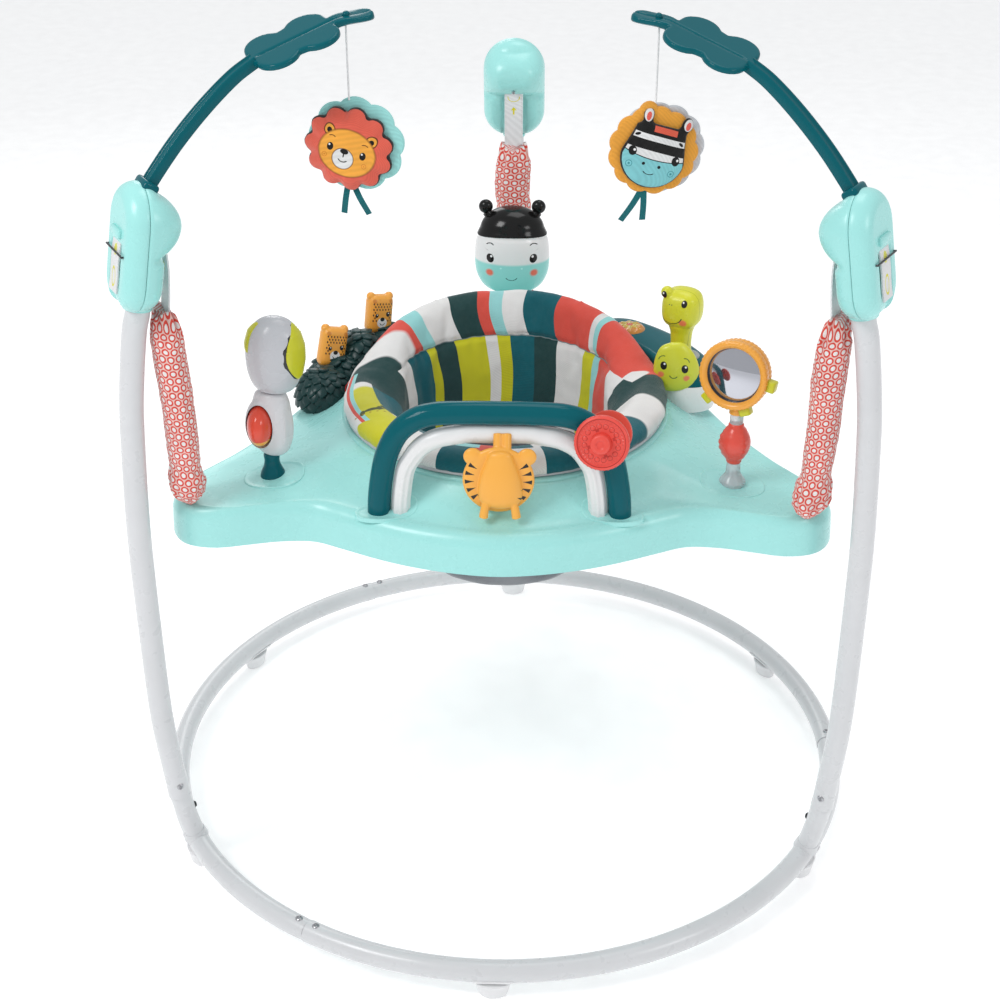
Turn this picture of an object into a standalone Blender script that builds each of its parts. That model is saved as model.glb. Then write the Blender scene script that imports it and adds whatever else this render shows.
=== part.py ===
"""Baby activity jumper.

A steel ring on six feet carries three curved uprights.  Each upright ends in a tower, and
from each tower a strap and a covered spring hang down to a play tray, which bounces.  A
fabric seat turns in the middle of the tray, toys stand round its edge, and two arms hold
soft toys over it.

The model is built round the ring's vertical axis, with -Y to the front, +Z up and the floor
at z = 0.  One empty then shifts it along Y, so that the origin is the bottom centre of the
whole object.  "rho" is a distance from the ring's axis.  All sizes are in metres.
"""
import math

import bmesh
import bpy
from mathutils import Matrix, Vector

# ---- Driving dimensions ------------------------------------------------------------------
GAP = 0.0003                 # left between pieces that touch

RING_R = 0.420               # centre line of the base ring
TUBE_R = 0.0127              # one-inch steel tube
TUBE_WALL = 0.0012
RING_Z = 0.032               # the ring's centre line above the floor
RING_STEPS = 15              # straight steps in each 120 degree arc
TUBE_SIDES_LEVEL = 2         # bevel resolution: eight sides

SIDES = {"right": 330, "back": 90, "left": 210}       # azimuth of each upright, degrees
RING_SEAMS = {"right": 240, "back": 0, "left": 120}   # where each 120 degree arc starts
FOOT_ANGLES = {"right": 330, "back_right": 30, "back": 90, "back_left": 150,
               "left": 210, "front": 270}
SEAM_Z = 0.106               # where an upright slips over its stub
STUB_R = TUBE_R - 0.0006     # the stub is swaged a little, for the upright to slip over
STUB = [(0.4213, 0.037), (0.4290, 0.070), (0.4355, SEAM_Z - 0.0020)]
UPRIGHT = [(0.4358, SEAM_Z), (0.4400, 0.150), (0.4460, 0.224), (0.4475, 0.333),
           (0.4470, 0.460), (0.4420, 0.567), (0.4375, 0.623), (0.4280, 0.688),
           (0.4216, 0.7126), (0.4160, 0.744)]

TOWER_CENTRE = (0.409, 0.7825)        # (rho, z)
TOWER_LEAN = math.radians(10.2)       # the top leans in
TOWER_HEIGHT = 0.142
TOWER_WIDTH = 0.080
TOWER_OUT = 0.024                     # outer face, from the tower's axis
TOWER_IN = 0.022                      # inner face
TOWER_SEAM = -0.005                   # plane between the two half shells
TOWER_WALL = 0.003
TOWER_ROUND = 0.014
BULGE_R = 0.034                       # drum that the strap runs over
BULGE_AT = (-0.007, 0.026)
BULGE_LENGTH = 0.064

STRAP_WIDTH = 0.024
STRAP_T = 0.002
STRAP = [(0.3845, 0.800), (0.3845, 0.778), (0.3880, 0.735), (0.3900, 0.700)]
STRAP_SLOT_Z = 0.777

COVER_TOP = (0.3905, 0.6995)          # (rho, z) of the spring cover's ends
COVER_FOOT = (0.3860, 0.4830)
COVER_HALF = (0.0148, 0.0215)         # half thickness and half width
COVER_WALL = 0.0012
SPRING_R = 0.0105
SPRING_WIRE_R = 0.0013
SPRING_TURNS = 8
SPRING_TOP_Z = 0.694
SPRING_FOOT_Z = 0.492

ARM = [(0.3920, 0.8340), (0.3740, 0.8640), (0.3540, 0.8900), (0.3170, 0.9220), (0.2810, 0.9470),
       (0.2460, 0.9660), (0.2155, 0.9775), (0.1750, 0.9835)]
ARM_DEPTH = 0.011
ARM_WIDTH = 0.016
LEAF_SPAN = (0.150, 0.285)            # rho of the leaf plate's two ends
LEAF_T = 0.009
STRING_RHO = 0.1800
STRING_TOP_Z = 0.9740
STRING_R = 0.0010

TRAY_FOOT_Z = 0.435
TRAY_RIM_Z = 0.481
TRAY_HOLE_R = 0.1785
TRAY_COLLAR_R = 0.1900
TRAY_COLLAR_Z = 0.5140
TRAY_WALL = 0.003
# Outline of the right half of the tray, (azimuth in degrees, rho), front to back.
TRAY_OUTLINE = [(-90, 0.258), (-72, 0.257), (-56, 0.262), (-46, 0.271), (-40.5, 0.288),
                (-36.8, 0.325), (-33.5, 0.373), (-30.5, 0.394), (-26.5, 0.401), (-22, 0.391),
                (-18, 0.364), (-13, 0.330), (-5, 0.297), (6, 0.272), (24, 0.262),
                (42, 0.262), (57, 0.272), (68.5, 0.299), (77.5, 0.337), (81.5, 0.364),
                (86, 0.392)]
BACK_LOBE_R = 0.400
TRAY_POINTS = 60

RAIL_Y = -0.200
RAIL_HALF = 0.1300                    # half the span between the outer tube's feet
RAIL_TOP_Z = 0.5995
RAIL_CORNER = 0.050
RAIL_OUTER_R = 0.0125
RAIL_INNER_R = 0.0105
RAIL_NECK = (0.0062, 0.0135)          # radius and half length of the tiger's spindle

SEAT_R = 0.1865
SEAT_RIM_Z = 0.5195
SEAT_STEPS = 32
LEG_R = 0.052
LEG_AZIMUTH = 40                      # each side of the front, degrees

CENTRE_TO_FRONT = RING_R + TUBE_R
CENTRE_TO_BACK = 0.4475 + TUBE_R
AXIS_Y = (CENTRE_TO_FRONT - CENTRE_TO_BACK) / 2

# ---- Colours -----------------------------------------------------------------------------
WHITE = (0.86, 0.86, 0.87)
AQUA = (0.42, 0.80, 0.77)
TEAL = (0.00, 0.16, 0.20)
CORAL = (0.80, 0.10, 0.07)
AMBER = (0.90, 0.42, 0.08)
LIME = (0.55, 0.62, 0.03)
GREY = (0.55, 0.56, 0.58)
PINE = (0.02, 0.09, 0.09)
BLACK = (0.01, 0.01, 0.01)
STEEL = (0.60, 0.60, 0.62)


# ---- Scene and collections ---------------------------------------------------------------
def fresh_collection(name):
    collection = bpy.data.collections.new(name)
    bpy.context.scene.collection.children.link(collection)
    return collection


for leftover in list(bpy.data.objects):
    bpy.data.objects.remove(leftover, do_unlink=True)
JUMPER = fresh_collection("activity_jumper")
CUTTERS = fresh_collection("cutters")
made = []                    # every object so far; a group is the slice since a mark


def material(name, colour, roughness=0.35, metallic=0.0):
    found = bpy.data.materials.get(name)
    if found:
        return found
    new = bpy.data.materials.new(name)
    new.use_nodes = True
    shader = new.node_tree.nodes["Principled BSDF"]
    shader.inputs["Base Color"].default_value = (*colour, 1.0)
    shader.inputs["Roughness"].default_value = roughness
    shader.inputs["Metallic"].default_value = metallic
    return new


def paint(obj, name, colour, roughness=0.35, metallic=0.0):
    obj.data.materials.clear()
    obj.data.materials.append(material(name, colour, roughness, metallic))
    return obj


def add_object(name, data):
    obj = bpy.data.objects.new(name, data)
    JUMPER.objects.link(obj)
    made.append(obj)
    return obj


def as_tool(obj):
    """Turn an object into a hidden cutter or guide."""
    JUMPER.objects.unlink(obj)
    CUTTERS.objects.link(obj)
    obj.hide_render = True
    obj.display_type = "WIRE"
    return obj


def boolean(obj, tool, operation="DIFFERENCE"):
    if tool.name in JUMPER.objects:
        as_tool(tool)
    modifier = obj.modifiers.new(operation.lower(), "BOOLEAN")
    modifier.object = tool
    modifier.operation = operation
    return obj


def bevel(obj, width, segments=2, angle=40):
    modifier = obj.modifiers.new("bevel", "BEVEL")
    modifier.width = width
    modifier.segments = segments
    modifier.limit_method = "ANGLE"
    modifier.angle_limit = math.radians(angle)
    return obj


def turn_group(start, azimuth):
    """Turn everything made since a mark about the ring's axis."""
    spin = Matrix.Rotation(math.radians(azimuth), 4, "Z")
    for obj in made[start:]:
        obj.matrix_basis = spin @ obj.matrix_basis


# ---- Shape helpers -----------------------------------------------------------------------
def smooth_path(points, steps):
    """A smooth curve through points, with a number of steps between each pair."""
    points = [Vector(point) for point in points]
    ends = [2 * points[0] - points[1]] + points + [2 * points[-1] - points[-2]]
    path = []
    for index in range(1, len(ends) - 2):
        before, here, there, after = ends[index - 1:index + 3]
        for step in range(steps):
            t = step / steps
            path.append(0.5 * (2 * here + (there - before) * t
                               + (2 * before - 5 * here + 4 * there - after) * t ** 2
                               + (3 * here - before - 3 * there + after) * t ** 3))
    path.append(points[-1])
    return path


def radial(points):
    """(rho, z) pairs as points in the plane y = 0."""
    return [Vector((rho, 0.0, z)) for rho, z in points]


def arc(centre, radius, start, end, steps):
    """Points on a flat arc, angles in degrees, as (x, y) pairs."""
    return [(centre[0] + radius * math.cos(math.radians(start + (end - start) * i / steps)),
             centre[1] + radius * math.sin(math.radians(start + (end - start) * i / steps)))
            for i in range(steps + 1)]


def finish_mesh(name, mesh_builder, location=(0, 0, 0)):
    mesh = bpy.data.meshes.new(name)
    bmesh.ops.recalc_face_normals(mesh_builder, faces=mesh_builder.faces)
    mesh_builder.to_mesh(mesh)
    mesh_builder.free()
    mesh.shade_smooth()
    mesh.set_sharp_from_angle(angle=math.radians(35))
    obj = add_object(name, mesh)
    obj.location = location
    return obj


def curve_to_mesh(curve_object, flat=False):
    """Replace a curve by its welded mesh; a flat one gets one face on each side."""
    bpy.context.view_layer.update()
    evaluated = curve_object.evaluated_get(bpy.context.evaluated_depsgraph_get())
    mesh = bpy.data.meshes.new_from_object(evaluated)
    builder = bmesh.new()
    builder.from_mesh(mesh)
    bmesh.ops.remove_doubles(builder, verts=builder.verts, dist=0.00001)
    if flat:
        bmesh.ops.dissolve_limit(builder, angle_limit=math.radians(1), verts=builder.verts,
                                 edges=builder.edges)
    bmesh.ops.recalc_face_normals(builder, faces=builder.faces)
    builder.to_mesh(mesh)
    builder.free()
    mesh.shade_smooth()
    mesh.set_sharp_from_angle(angle=math.radians(50))
    name = curve_object.name
    place = curve_object.matrix_world.copy()
    made.remove(curve_object)
    bpy.data.objects.remove(curve_object, do_unlink=True)
    solid = add_object(name, mesh)
    solid.matrix_basis = place
    return solid


def pipe(name, points, radius, level=TUBE_SIDES_LEVEL, closed=False):
    """A round bar along a path, as a mesh."""
    curve = bpy.data.curves.new(name, "CURVE")
    curve.dimensions = "3D"
    curve.bevel_depth = radius
    curve.bevel_resolution = level
    curve.use_fill_caps = True
    spline = curve.splines.new("POLY")
    spline.points.add(len(points) - 1)
    for point, place in zip(spline.points, points):
        point.co = (*place, 1.0)
    spline.use_cyclic_u = closed
    return curve_to_mesh(add_object(name, curve))


def plate(name, outline, thickness, matrix=Matrix.Identity(4)):
    """A flat outline with a thickness, centred on its own plane."""
    curve = bpy.data.curves.new(name, "CURVE")
    curve.dimensions = "2D"
    curve.fill_mode = "BOTH"
    curve.extrude = thickness / 2
    spline = curve.splines.new("POLY")
    spline.points.add(len(outline) - 1)
    for point, place in zip(spline.points, outline):
        point.co = (place[0], place[1], 0.0, 1.0)
    spline.use_cyclic_u = True
    obj = curve_to_mesh(add_object(name, curve), flat=True)
    obj.matrix_basis = matrix
    return obj


def upright_plane(azimuth=0.0, centre=(0, 0, 0), lean=0.0):
    """Local X across, local Y up, local Z out along the azimuth."""
    spin = Matrix.Rotation(math.radians(azimuth), 4, "Z")
    axes = Matrix(((0, 0, 1, 0), (1, 0, 0, 0), (0, 1, 0, 0), (0, 0, 0, 1)))
    return Matrix.Translation(centre) @ spin @ Matrix.Rotation(-lean, 4, "Y") @ axes


def ribbon(name, points, width, thickness):
    """A flat band: its middle line lies in the plane y = 0 and it is wide along Y."""
    path = [Vector((point.x, point.z)) for point in points]
    left = []
    right = []
    for index, here in enumerate(path):
        ahead = path[min(index + 1, len(path) - 1)] - path[max(index - 1, 0)]
        side = Vector((-ahead.y, ahead.x)).normalized() * thickness / 2
        left.append(here + side)
        right.append(here - side)
    stand = Matrix.Rotation(math.radians(90), 4, "X")
    return plate(name, left + right[::-1], width, stand)


def ball(name, centre, size, segments=16, rings=10):
    builder = bmesh.new()
    bmesh.ops.create_uvsphere(builder, u_segments=segments, v_segments=rings, radius=0.5)
    bmesh.ops.scale(builder, vec=Vector(size), verts=builder.verts)
    return finish_mesh(name, builder, centre)


def bar(name, start, end, radius, end_radius=None, sides=16):
    """A cylinder or cone between two points."""
    start = Vector(start)
    end = Vector(end)
    builder = bmesh.new()
    bmesh.ops.create_cone(builder, cap_ends=True, segments=sides, radius1=radius,
                          radius2=radius if end_radius is None else end_radius,
                          depth=(end - start).length)
    obj = finish_mesh(name, builder)
    turn = Vector((0, 0, 1)).rotation_difference(end - start)
    obj.matrix_basis = Matrix.Translation((start + end) / 2) @ turn.to_matrix().to_4x4()
    return obj


def block(name, centre, size, rounding=0.0, segments=2):
    builder = bmesh.new()
    bmesh.ops.create_cube(builder, size=1.0)
    bmesh.ops.scale(builder, vec=Vector(size), verts=builder.verts)
    obj = finish_mesh(name, builder, centre)
    if rounding:
        bevel(obj, rounding, segments)
    return obj


def turned(name, profile, centre=(0, 0, 0), steps=24, axis=(0, 0, 1)):
    """A turned solid: (radius, height) pairs from the top to the bottom of its outer side."""
    builder = bmesh.new()
    corners = [builder.verts.new((radius, 0.0, height)) for radius, height in profile]
    for upper, lower in zip(corners, corners[1:]):
        builder.edges.new((upper, lower))
    mesh = bpy.data.meshes.new(name)
    builder.to_mesh(mesh)
    builder.free()
    obj = add_object(name, mesh)
    turn = Vector((0, 0, 1)).rotation_difference(Vector(axis))
    obj.matrix_basis = Matrix.Translation(centre) @ turn.to_matrix().to_4x4()
    screw = obj.modifiers.new("screw", "SCREW")
    screw.steps = steps
    screw.render_steps = steps
    screw.use_merge_vertices = True
    screw.merge_threshold = 0.00001
    screw.use_smooth_shade = True
    return obj


def skin(name, rings, closed_around=True, close_ends="caps"):
    """A loft through rings of equal point counts, closed by caps, or round onto itself."""
    builder = bmesh.new()
    rows = [[builder.verts.new(point) for point in ring] for ring in rings]
    count = len(rows[0])
    pairs = list(zip(rows, rows[1:]))
    if close_ends == "loop":
        pairs.append((rows[-1], rows[0]))
    for lower, upper in pairs:
        for index in range(count if closed_around else count - 1):
            after = (index + 1) % count
            builder.faces.new((lower[index], lower[after], upper[after], upper[index]))
    if close_ends == "caps":
        builder.faces.new(rows[0][::-1])
        builder.faces.new(rows[-1])
    return finish_mesh(name, builder)


# ---- Base ring, feet and uprights --------------------------------------------------------
def ring_arc(start, sweep, steps, square_ends=False):
    """Points along the ring; square ends add a short step, so that the caps face along it."""
    turns = [sweep * i / steps for i in range(steps + 1)]
    if square_ends:
        turns = turns[:1] + [0.25] + turns[1:-1] + [sweep - 0.25] + turns[-1:]
    return [Vector((RING_R * math.cos(math.radians(start + turn)),
                    RING_R * math.sin(math.radians(start + turn)), RING_Z))
            for turn in turns]


def stub_path(azimuth, overrun=0.0):
    spin = Matrix.Rotation(math.radians(azimuth), 3, "Z")
    path = smooth_path(radial(STUB), 2)
    if overrun:
        path.append(path[-1] + (path[-1] - path[-2]).normalized() * overrun)
    return [spin @ point for point in path]


def base_tube(side):
    """A third of the ring: a bent tube with the stub for its upright welded on."""
    start = RING_SEAMS[side]
    gap = math.degrees(GAP / RING_R)
    tube = pipe("base_tube_" + side, ring_arc(start + gap, 120 - 2 * gap, RING_STEPS, True),
                TUBE_R)
    bore = TUBE_R - TUBE_WALL
    boolean(tube, pipe("stub_" + side, stub_path(SIDES[side]), STUB_R), "UNION")
    boolean(tube, pipe("bore_" + side, ring_arc(start - 8, 136, RING_STEPS + 2), bore))
    stub_bore = STUB_R - TUBE_WALL
    boolean(tube, pipe("stub_bore_" + side, stub_path(SIDES[side], 0.01), stub_bore))
    paint(tube, "painted_steel", WHITE, 0.3)


def foot(name, azimuth):
    """A rubber-like foot that hugs the tube from below, with a flat sole."""
    start = len(made)
    builder = bmesh.new()
    bmesh.ops.create_cone(builder, cap_ends=True, segments=16, radius1=0.0100,
                          radius2=0.0215, depth=RING_Z)
    bmesh.ops.scale(builder, vec=Vector((TUBE_R / 0.0215, 1.0, 1.0)), verts=builder.verts)
    obj = finish_mesh("foot_" + name, builder, (RING_R, 0, RING_Z / 2))
    bevel(obj, 0.002, 1)
    paint(obj, "foot_plastic", WHITE, 0.45)
    turn_group(start, azimuth)
    boolean(obj, bpy.data.objects["foot_seat"])


def feet():
    step = 120 / RING_STEPS
    path = ring_arc(0, 360 - step, 3 * RING_STEPS - 1)
    as_tool(pipe("foot_seat", path, TUBE_R + 0.0007, 4, closed=True))
    for name, azimuth in FOOT_ANGLES.items():
        foot(name, azimuth)


def upright(side):
    start = len(made)
    path = radial(UPRIGHT)
    path[0] = path[0] + Vector((0, 0, 2 * GAP))
    tube = pipe("upright_" + side, path, TUBE_R)
    ahead = (path[1] - path[0]).normalized() * 0.01
    beyond = (path[-1] - path[-2]).normalized() * 0.01
    bore_path = [path[0] - ahead] + path[1:-1] + [path[-1] + beyond]
    boolean(tube, pipe("upright_bore_" + side, bore_path, TUBE_R - TUBE_WALL))
    paint(tube, "painted_steel", WHITE, 0.3)
    turn_group(start, SIDES[side])


# ---- Towers ------------------------------------------------------------------------------
def capsule(shrink=0.0):
    """The tower's face: half-round at the top, a little squarer at the bottom."""
    half = TOWER_WIDTH / 2 - shrink
    top = TOWER_HEIGHT / 2 - TOWER_WIDTH / 2
    low_r = 0.034 - shrink
    low = -TOWER_HEIGHT / 2 + 0.034
    right = arc((half - low_r, low), low_r, -90, 0, 3)
    left = arc((low_r - half, low), low_r, 180, 270, 3)
    return right + arc((0, top), half, 0, 180, 8) + left


def tower_matrix(out=0.0, up=0.0):
    plane = upright_plane(0, (TOWER_CENTRE[0], 0, TOWER_CENTRE[1]), TOWER_LEAN)
    return plane @ Matrix.Translation((0, up, out))


def tower_solid(name, shrink):
    """The whole tower, or its hollow when it is shrunk by the wall."""
    thick = TOWER_OUT + TOWER_IN - 2 * shrink
    middle = (TOWER_OUT - TOWER_IN) / 2
    solid = plate(name, capsule(shrink), thick, tower_matrix(middle))
    return bevel(solid, TOWER_ROUND - shrink, 1 if shrink > 0 else 2, 50)


def bulge(name, shrink):
    place = tower_matrix(BULGE_AT[0], BULGE_AT[1])
    half = (BULGE_LENGTH / 2) - shrink
    drum = bar(name, (-half, 0, 0), (half, 0, 0), BULGE_R - shrink, sides=20)
    drum.matrix_basis = place @ drum.matrix_basis
    return bevel(drum, 0.008 - shrink, 1 if shrink > 0 else 2, 50)


def tower_box(name, centre, size):
    """A cutting block in the tower's own axes: across, up, out."""
    box = block(name, (0, 0, 0), size)
    box.matrix_basis = tower_matrix() @ Matrix.Translation(centre)
    return box


def tower(side):
    start = len(made)
    big = 0.2
    outer = tower_solid("tower_outer_" + side, 0.0)
    inner = tower_solid("tower_inner_" + side, 0.0)
    boolean(inner, bulge("bulge_" + side, 0.0), "UNION")
    hollow = tower_solid("tower_hollow_" + side, TOWER_WALL)
    drum_hollow = bulge("bulge_hollow_" + side, TOWER_WALL)
    outside = tower_box("outside_" + side, (0, 0, TOWER_SEAM + big / 2 - GAP / 2),
                        (big, big, big))
    inside = tower_box("inside_" + side, (0, 0, TOWER_SEAM - big / 2 + GAP / 2),
                       (big, big, big))
    boolean(outer, inside)
    boolean(inner, outside)
    tube_path = radial(UPRIGHT[-4:])
    tube_hole = pipe("tube_hole_" + side, tube_path, TUBE_R + 0.0016, 2)
    slot = block("strap_slot_" + side, (STRAP[0][0], 0, STRAP_SLOT_Z),
                 (0.008, STRAP_WIDTH + 0.005, 0.022))
    tail_slot = tower_box("tail_slot_" + side, (0, -0.037, TOWER_OUT),
                          (STRAP_WIDTH + 0.006, 0.094, 0.016))
    for shell in (outer, inner):
        boolean(shell, hollow)
        boolean(shell, tube_hole)
        paint(shell, "tower_plastic", AQUA, 0.35)
    boolean(outer, drum_hollow)
    boolean(outer, tail_slot)
    boolean(inner, drum_hollow)
    boolean(inner, slot)
    turn_group(start, SIDES[side])


def hanger_strap(side):
    start = len(made)
    strap = ribbon("hanger_strap_" + side, radial(STRAP), STRAP_WIDTH, STRAP_T)
    paint(strap, "webbing", WHITE, 0.8)
    turn_group(start, SIDES[side])


def strap_tail(side):
    """The free end of the strap, in the slot on the tower's back."""
    start = len(made)
    tail = block("strap_tail_" + side, (0, 0, 0), (STRAP_WIDTH, 0.052, STRAP_T))
    tail.matrix_basis = tower_matrix() @ Matrix.Translation((0, -0.0205, TOWER_OUT - 0.003))
    paint(tail, "webbing", WHITE, 0.8)
    turn_group(start, SIDES[side])


# ---- Springs and their covers ------------------------------------------------------------
def hang_line(z):
    """rho of the spring's axis at a height."""
    share = (z - COVER_FOOT[1]) / (COVER_TOP[1] - COVER_FOOT[1])
    return COVER_FOOT[0] + share * (COVER_TOP[0] - COVER_FOOT[0])


def spring(side):
    start = len(made)
    per_turn = 6
    count = SPRING_TURNS * per_turn
    coil_top = SPRING_TOP_Z - 0.016
    coil_foot = SPRING_FOOT_Z + 0.016
    path = [Vector((hang_line(SPRING_TOP_Z), 0, SPRING_TOP_Z)),
            Vector((hang_line(coil_top), 0, coil_top + 0.004))]
    for step in range(count + 1):
        angle = 2 * math.pi * step / per_turn
        z = coil_top + (coil_foot - coil_top) * step / count
        path.append(Vector((hang_line(z) + SPRING_R * math.cos(angle),
                            SPRING_R * math.sin(angle), z)))
    path.append(Vector((hang_line(coil_foot), 0, coil_foot - 0.004)))
    path.append(Vector((hang_line(SPRING_FOOT_Z), 0, SPRING_FOOT_Z)))
    coil = pipe("spring_" + side, path, SPRING_WIRE_R, 0)
    paint(coil, "spring_steel", STEEL, 0.3, 1.0)
    turn_group(start, SIDES[side])


def cover_rings(shrink, overrun):
    """Ellipses down the cover: narrow at both ends, fullest near the foot."""
    shape = [(0.00, 0.80), (0.12, 0.98), (0.45, 0.96), (0.70, 1.00), (0.84, 1.02), (1.00, 0.74)]
    rings = []
    for share, full in shape:
        z = COVER_TOP[1] + share * (COVER_FOOT[1] - COVER_TOP[1])
        z += overrun if share == 0.0 else -overrun if share == 1.0 else 0.0
        rings.append([(hang_line(z) + (COVER_HALF[0] * max(full, 0.94) - shrink)
                       * math.cos(2 * math.pi * i / 12),
                       (COVER_HALF[1] * full - shrink) * math.sin(2 * math.pi * i / 12), z)
                      for i in range(12)])
    return rings


def spring_cover(side):
    start = len(made)
    sleeve = skin("spring_cover_" + side, cover_rings(0.0, 0.0))
    boolean(sleeve, skin("cover_bore_" + side, cover_rings(COVER_WALL, 0.002)))
    paint(sleeve, "cover_fabric", (0.85, 0.45, 0.40), 0.9)
    turn_group(start, SIDES[side])


# ---- Toy arms and hanging toys -----------------------------------------------------------
def leaf_outline():
    """Two big pairs of lobes and a smaller tip, about the rib, as (along, across)."""
    lobes = [((0.106, 0.017), 0.0155, 60, -150), ((0.074, 0.017), 0.0155, 75, -45),
             ((0.032, 0.010), 0.0150, 80, -30)]
    upper = [(0.135, 0.004)]
    upper += arc((0.104, 0.0165), 0.0165, 0, 160, 5)
    upper += arc((0.068, 0.0175), 0.0170, 30, 160, 5)
    upper += arc((0.026, 0.0080), 0.0180, 45, 170, 5)
    lower = [(along, -across) for along, across in upper[::-1]]
    return upper + lower


def toy_arm(side):
    start = len(made)
    name = "toy_arm_" + side
    arm = ribbon(name, smooth_path(radial(ARM), 2), ARM_WIDTH, ARM_DEPTH)
    low = Vector((LEAF_SPAN[0], 0, 0.9905))
    high = Vector((LEAF_SPAN[1], 0, 0.9460))
    along = (high - low).normalized()
    normal = along.cross(Vector((0, 1, 0))).normalized()
    if normal.z < 0:
        normal = -normal
    across = normal.cross(along)
    place = Matrix((along, across, normal)).transposed().to_4x4()
    place.translation = low
    boolean(arm, plate("leaf_" + side, leaf_outline(), LEAF_T, place), "UNION")
    boolean(arm, tower_solid("arm_seat_" + side, -0.0004))
    boolean(arm, bulge("arm_bulge_seat_" + side, -0.0004))
    weld = arm.modifiers.new("weld", "WELD")
    weld.merge_threshold = 0.00001
    paint(arm, "arm_plastic", TEAL, 0.25)
    turn_group(start, SIDES[side])


def hanging_toy(name, side, size, colour):
    """A flat stuffed face on a string, facing the front."""
    azimuth = math.radians(SIDES[side])
    x = STRING_RHO * math.cos(azimuth)
    y = STRING_RHO * math.sin(azimuth)
    top = STRING_TOP_Z
    face_top = 0.8975
    string = pipe(name + "_string", [Vector((x, y, top - (top - face_top - GAP) * i / 8))
                                     for i in range(9)], STRING_R, 2)
    paint(string, "string", WHITE, 0.8)
    width, depth, height = size
    outline = [(width / 2 * math.cos(2 * math.pi * i / 24),
                height / 2 * math.sin(2 * math.pi * i / 24)) for i in range(24)]
    centre = (x, y, face_top - height / 2)
    pad = plate(name + "_pad", outline, depth, upright_plane(-90, centre))
    bevel(pad, depth * 0.4, 2, 60)
    paint(pad, name + "_fabric", colour, 0.9)


# ---- Tray --------------------------------------------------------------------------------
def tray_edge():
    """The tray's outline: evenly spaced points along a smooth closed curve."""
    right = [(math.radians(angle), rho) for angle, rho in TRAY_OUTLINE]
    left = [(math.pi - angle, rho) for angle, rho in right[:0:-1]]
    corners = right + [(math.pi / 2, BACK_LOBE_R)] + left
    points = [Vector((rho * math.cos(angle), rho * math.sin(angle), 0))
              for angle, rho in corners]
    loop = points[-2:] + points + points[:3]
    fine = smooth_path(loop, 8)[2 * 8:(len(points) + 2) * 8]
    lengths = [0.0]
    for here, there in zip(fine, fine[1:] + fine[:1]):
        lengths.append(lengths[-1] + (there - here).length)
    edge = []
    index = 0
    for step in range(TRAY_POINTS):
        wanted = lengths[-1] * step / TRAY_POINTS
        while lengths[index + 1] < wanted:
            index += 1
        share = (wanted - lengths[index]) / (lengths[index + 1] - lengths[index])
        edge.append(fine[index].lerp(fine[(index + 1) % len(fine)], share))
    return edge


def tray_ring(edge, inset, z):
    """The outline drawn in by a distance, towards the axis."""
    return [point.normalized() * (point.length - inset) + Vector((0, 0, z)) for point in edge]


def tray_slope(edge, share, drop=0.0):
    """A ring on the tray's top: share 0 is the rim and 1 the seat's collar."""
    ring = []
    for point in edge:
        rim = point.length - 0.016
        rho = rim + share * (TRAY_COLLAR_R + 0.004 - rim)
        z = TRAY_RIM_Z + (TRAY_COLLAR_Z - 0.004 - TRAY_RIM_Z) * share ** 1.7
        ring.append(point.normalized() * rho + Vector((0, 0, z - drop)))
    return ring


def circle_ring(edge, rho, z):
    return [point.normalized() * rho + Vector((0, 0, z)) for point in edge]


def tray_shell():
    """One thin moulding, open underneath, with a hole for the seat ring."""
    edge = tray_edge()
    wall = TRAY_WALL
    outside = [tray_ring(edge, -0.0010, TRAY_FOOT_Z), tray_ring(edge, 0.0030, 0.466),
               tray_ring(edge, 0.0070, 0.476), tray_slope(edge, 0.0),
               tray_slope(edge, 0.4), tray_slope(edge, 0.75),
               tray_slope(edge, 1.0), circle_ring(edge, TRAY_COLLAR_R, TRAY_COLLAR_Z),
               circle_ring(edge, TRAY_HOLE_R, TRAY_COLLAR_Z),
               circle_ring(edge, TRAY_HOLE_R, 0.470)]
    inside = [circle_ring(edge, TRAY_HOLE_R + wall, 0.470),
              circle_ring(edge, TRAY_HOLE_R + wall, 0.504), tray_slope(edge, 0.92, wall),
              tray_slope(edge, 0.4, wall), tray_slope(edge, 0.0, wall),
              tray_ring(edge, 0.0065, 0.462), tray_ring(edge, 0.0025, TRAY_FOOT_Z)]
    shell = skin("tray_shell", outside + inside, close_ends="loop")
    paint(shell, "tray_plastic", AQUA, 0.35)
    return shell


def tray_form(name):
    """The space up to the tray's top and a little over, which trims what stands on it."""
    edge = tray_edge()
    rings = [circle_ring(edge, 0.120, 0.400), tray_ring(edge, -0.02, 0.400),
             tray_ring(edge, -0.02, 0.470), tray_ring(edge, 0.0070 - GAP, 0.476 + GAP)]
    rings += [tray_slope(edge, share, -GAP * 2) for share in (0.0, 0.4, 0.75, 1.0)]
    rings += [circle_ring(edge, TRAY_COLLAR_R, TRAY_COLLAR_Z + GAP),
              circle_ring(edge, 0.120, TRAY_COLLAR_Z + GAP)]
    return as_tool(skin(name, rings, close_ends="loop"))


# ---- Front rail with the tiger and the spinner -------------------------------------------
def arch(offset, foot_z):
    """The rail's path, drawn in by an offset from the outer tube's centre line."""
    half = RAIL_HALF - offset
    top = RAIL_TOP_Z - offset
    corner = RAIL_CORNER - offset
    right = arc((half - corner, top - corner), corner, 0, 90, 6)
    right = [(half, foot_z)] + right
    left = [(-x, z) for x, z in right[::-1]]
    return [Vector((x, RAIL_Y, z)) for x, z in right + left]


SPINNER_AXIS = Vector((-0.17, -0.95, 0.26)).normalized()
SPINNER_FACE = Vector((0.1070, -0.2275, 0.5800))


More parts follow.
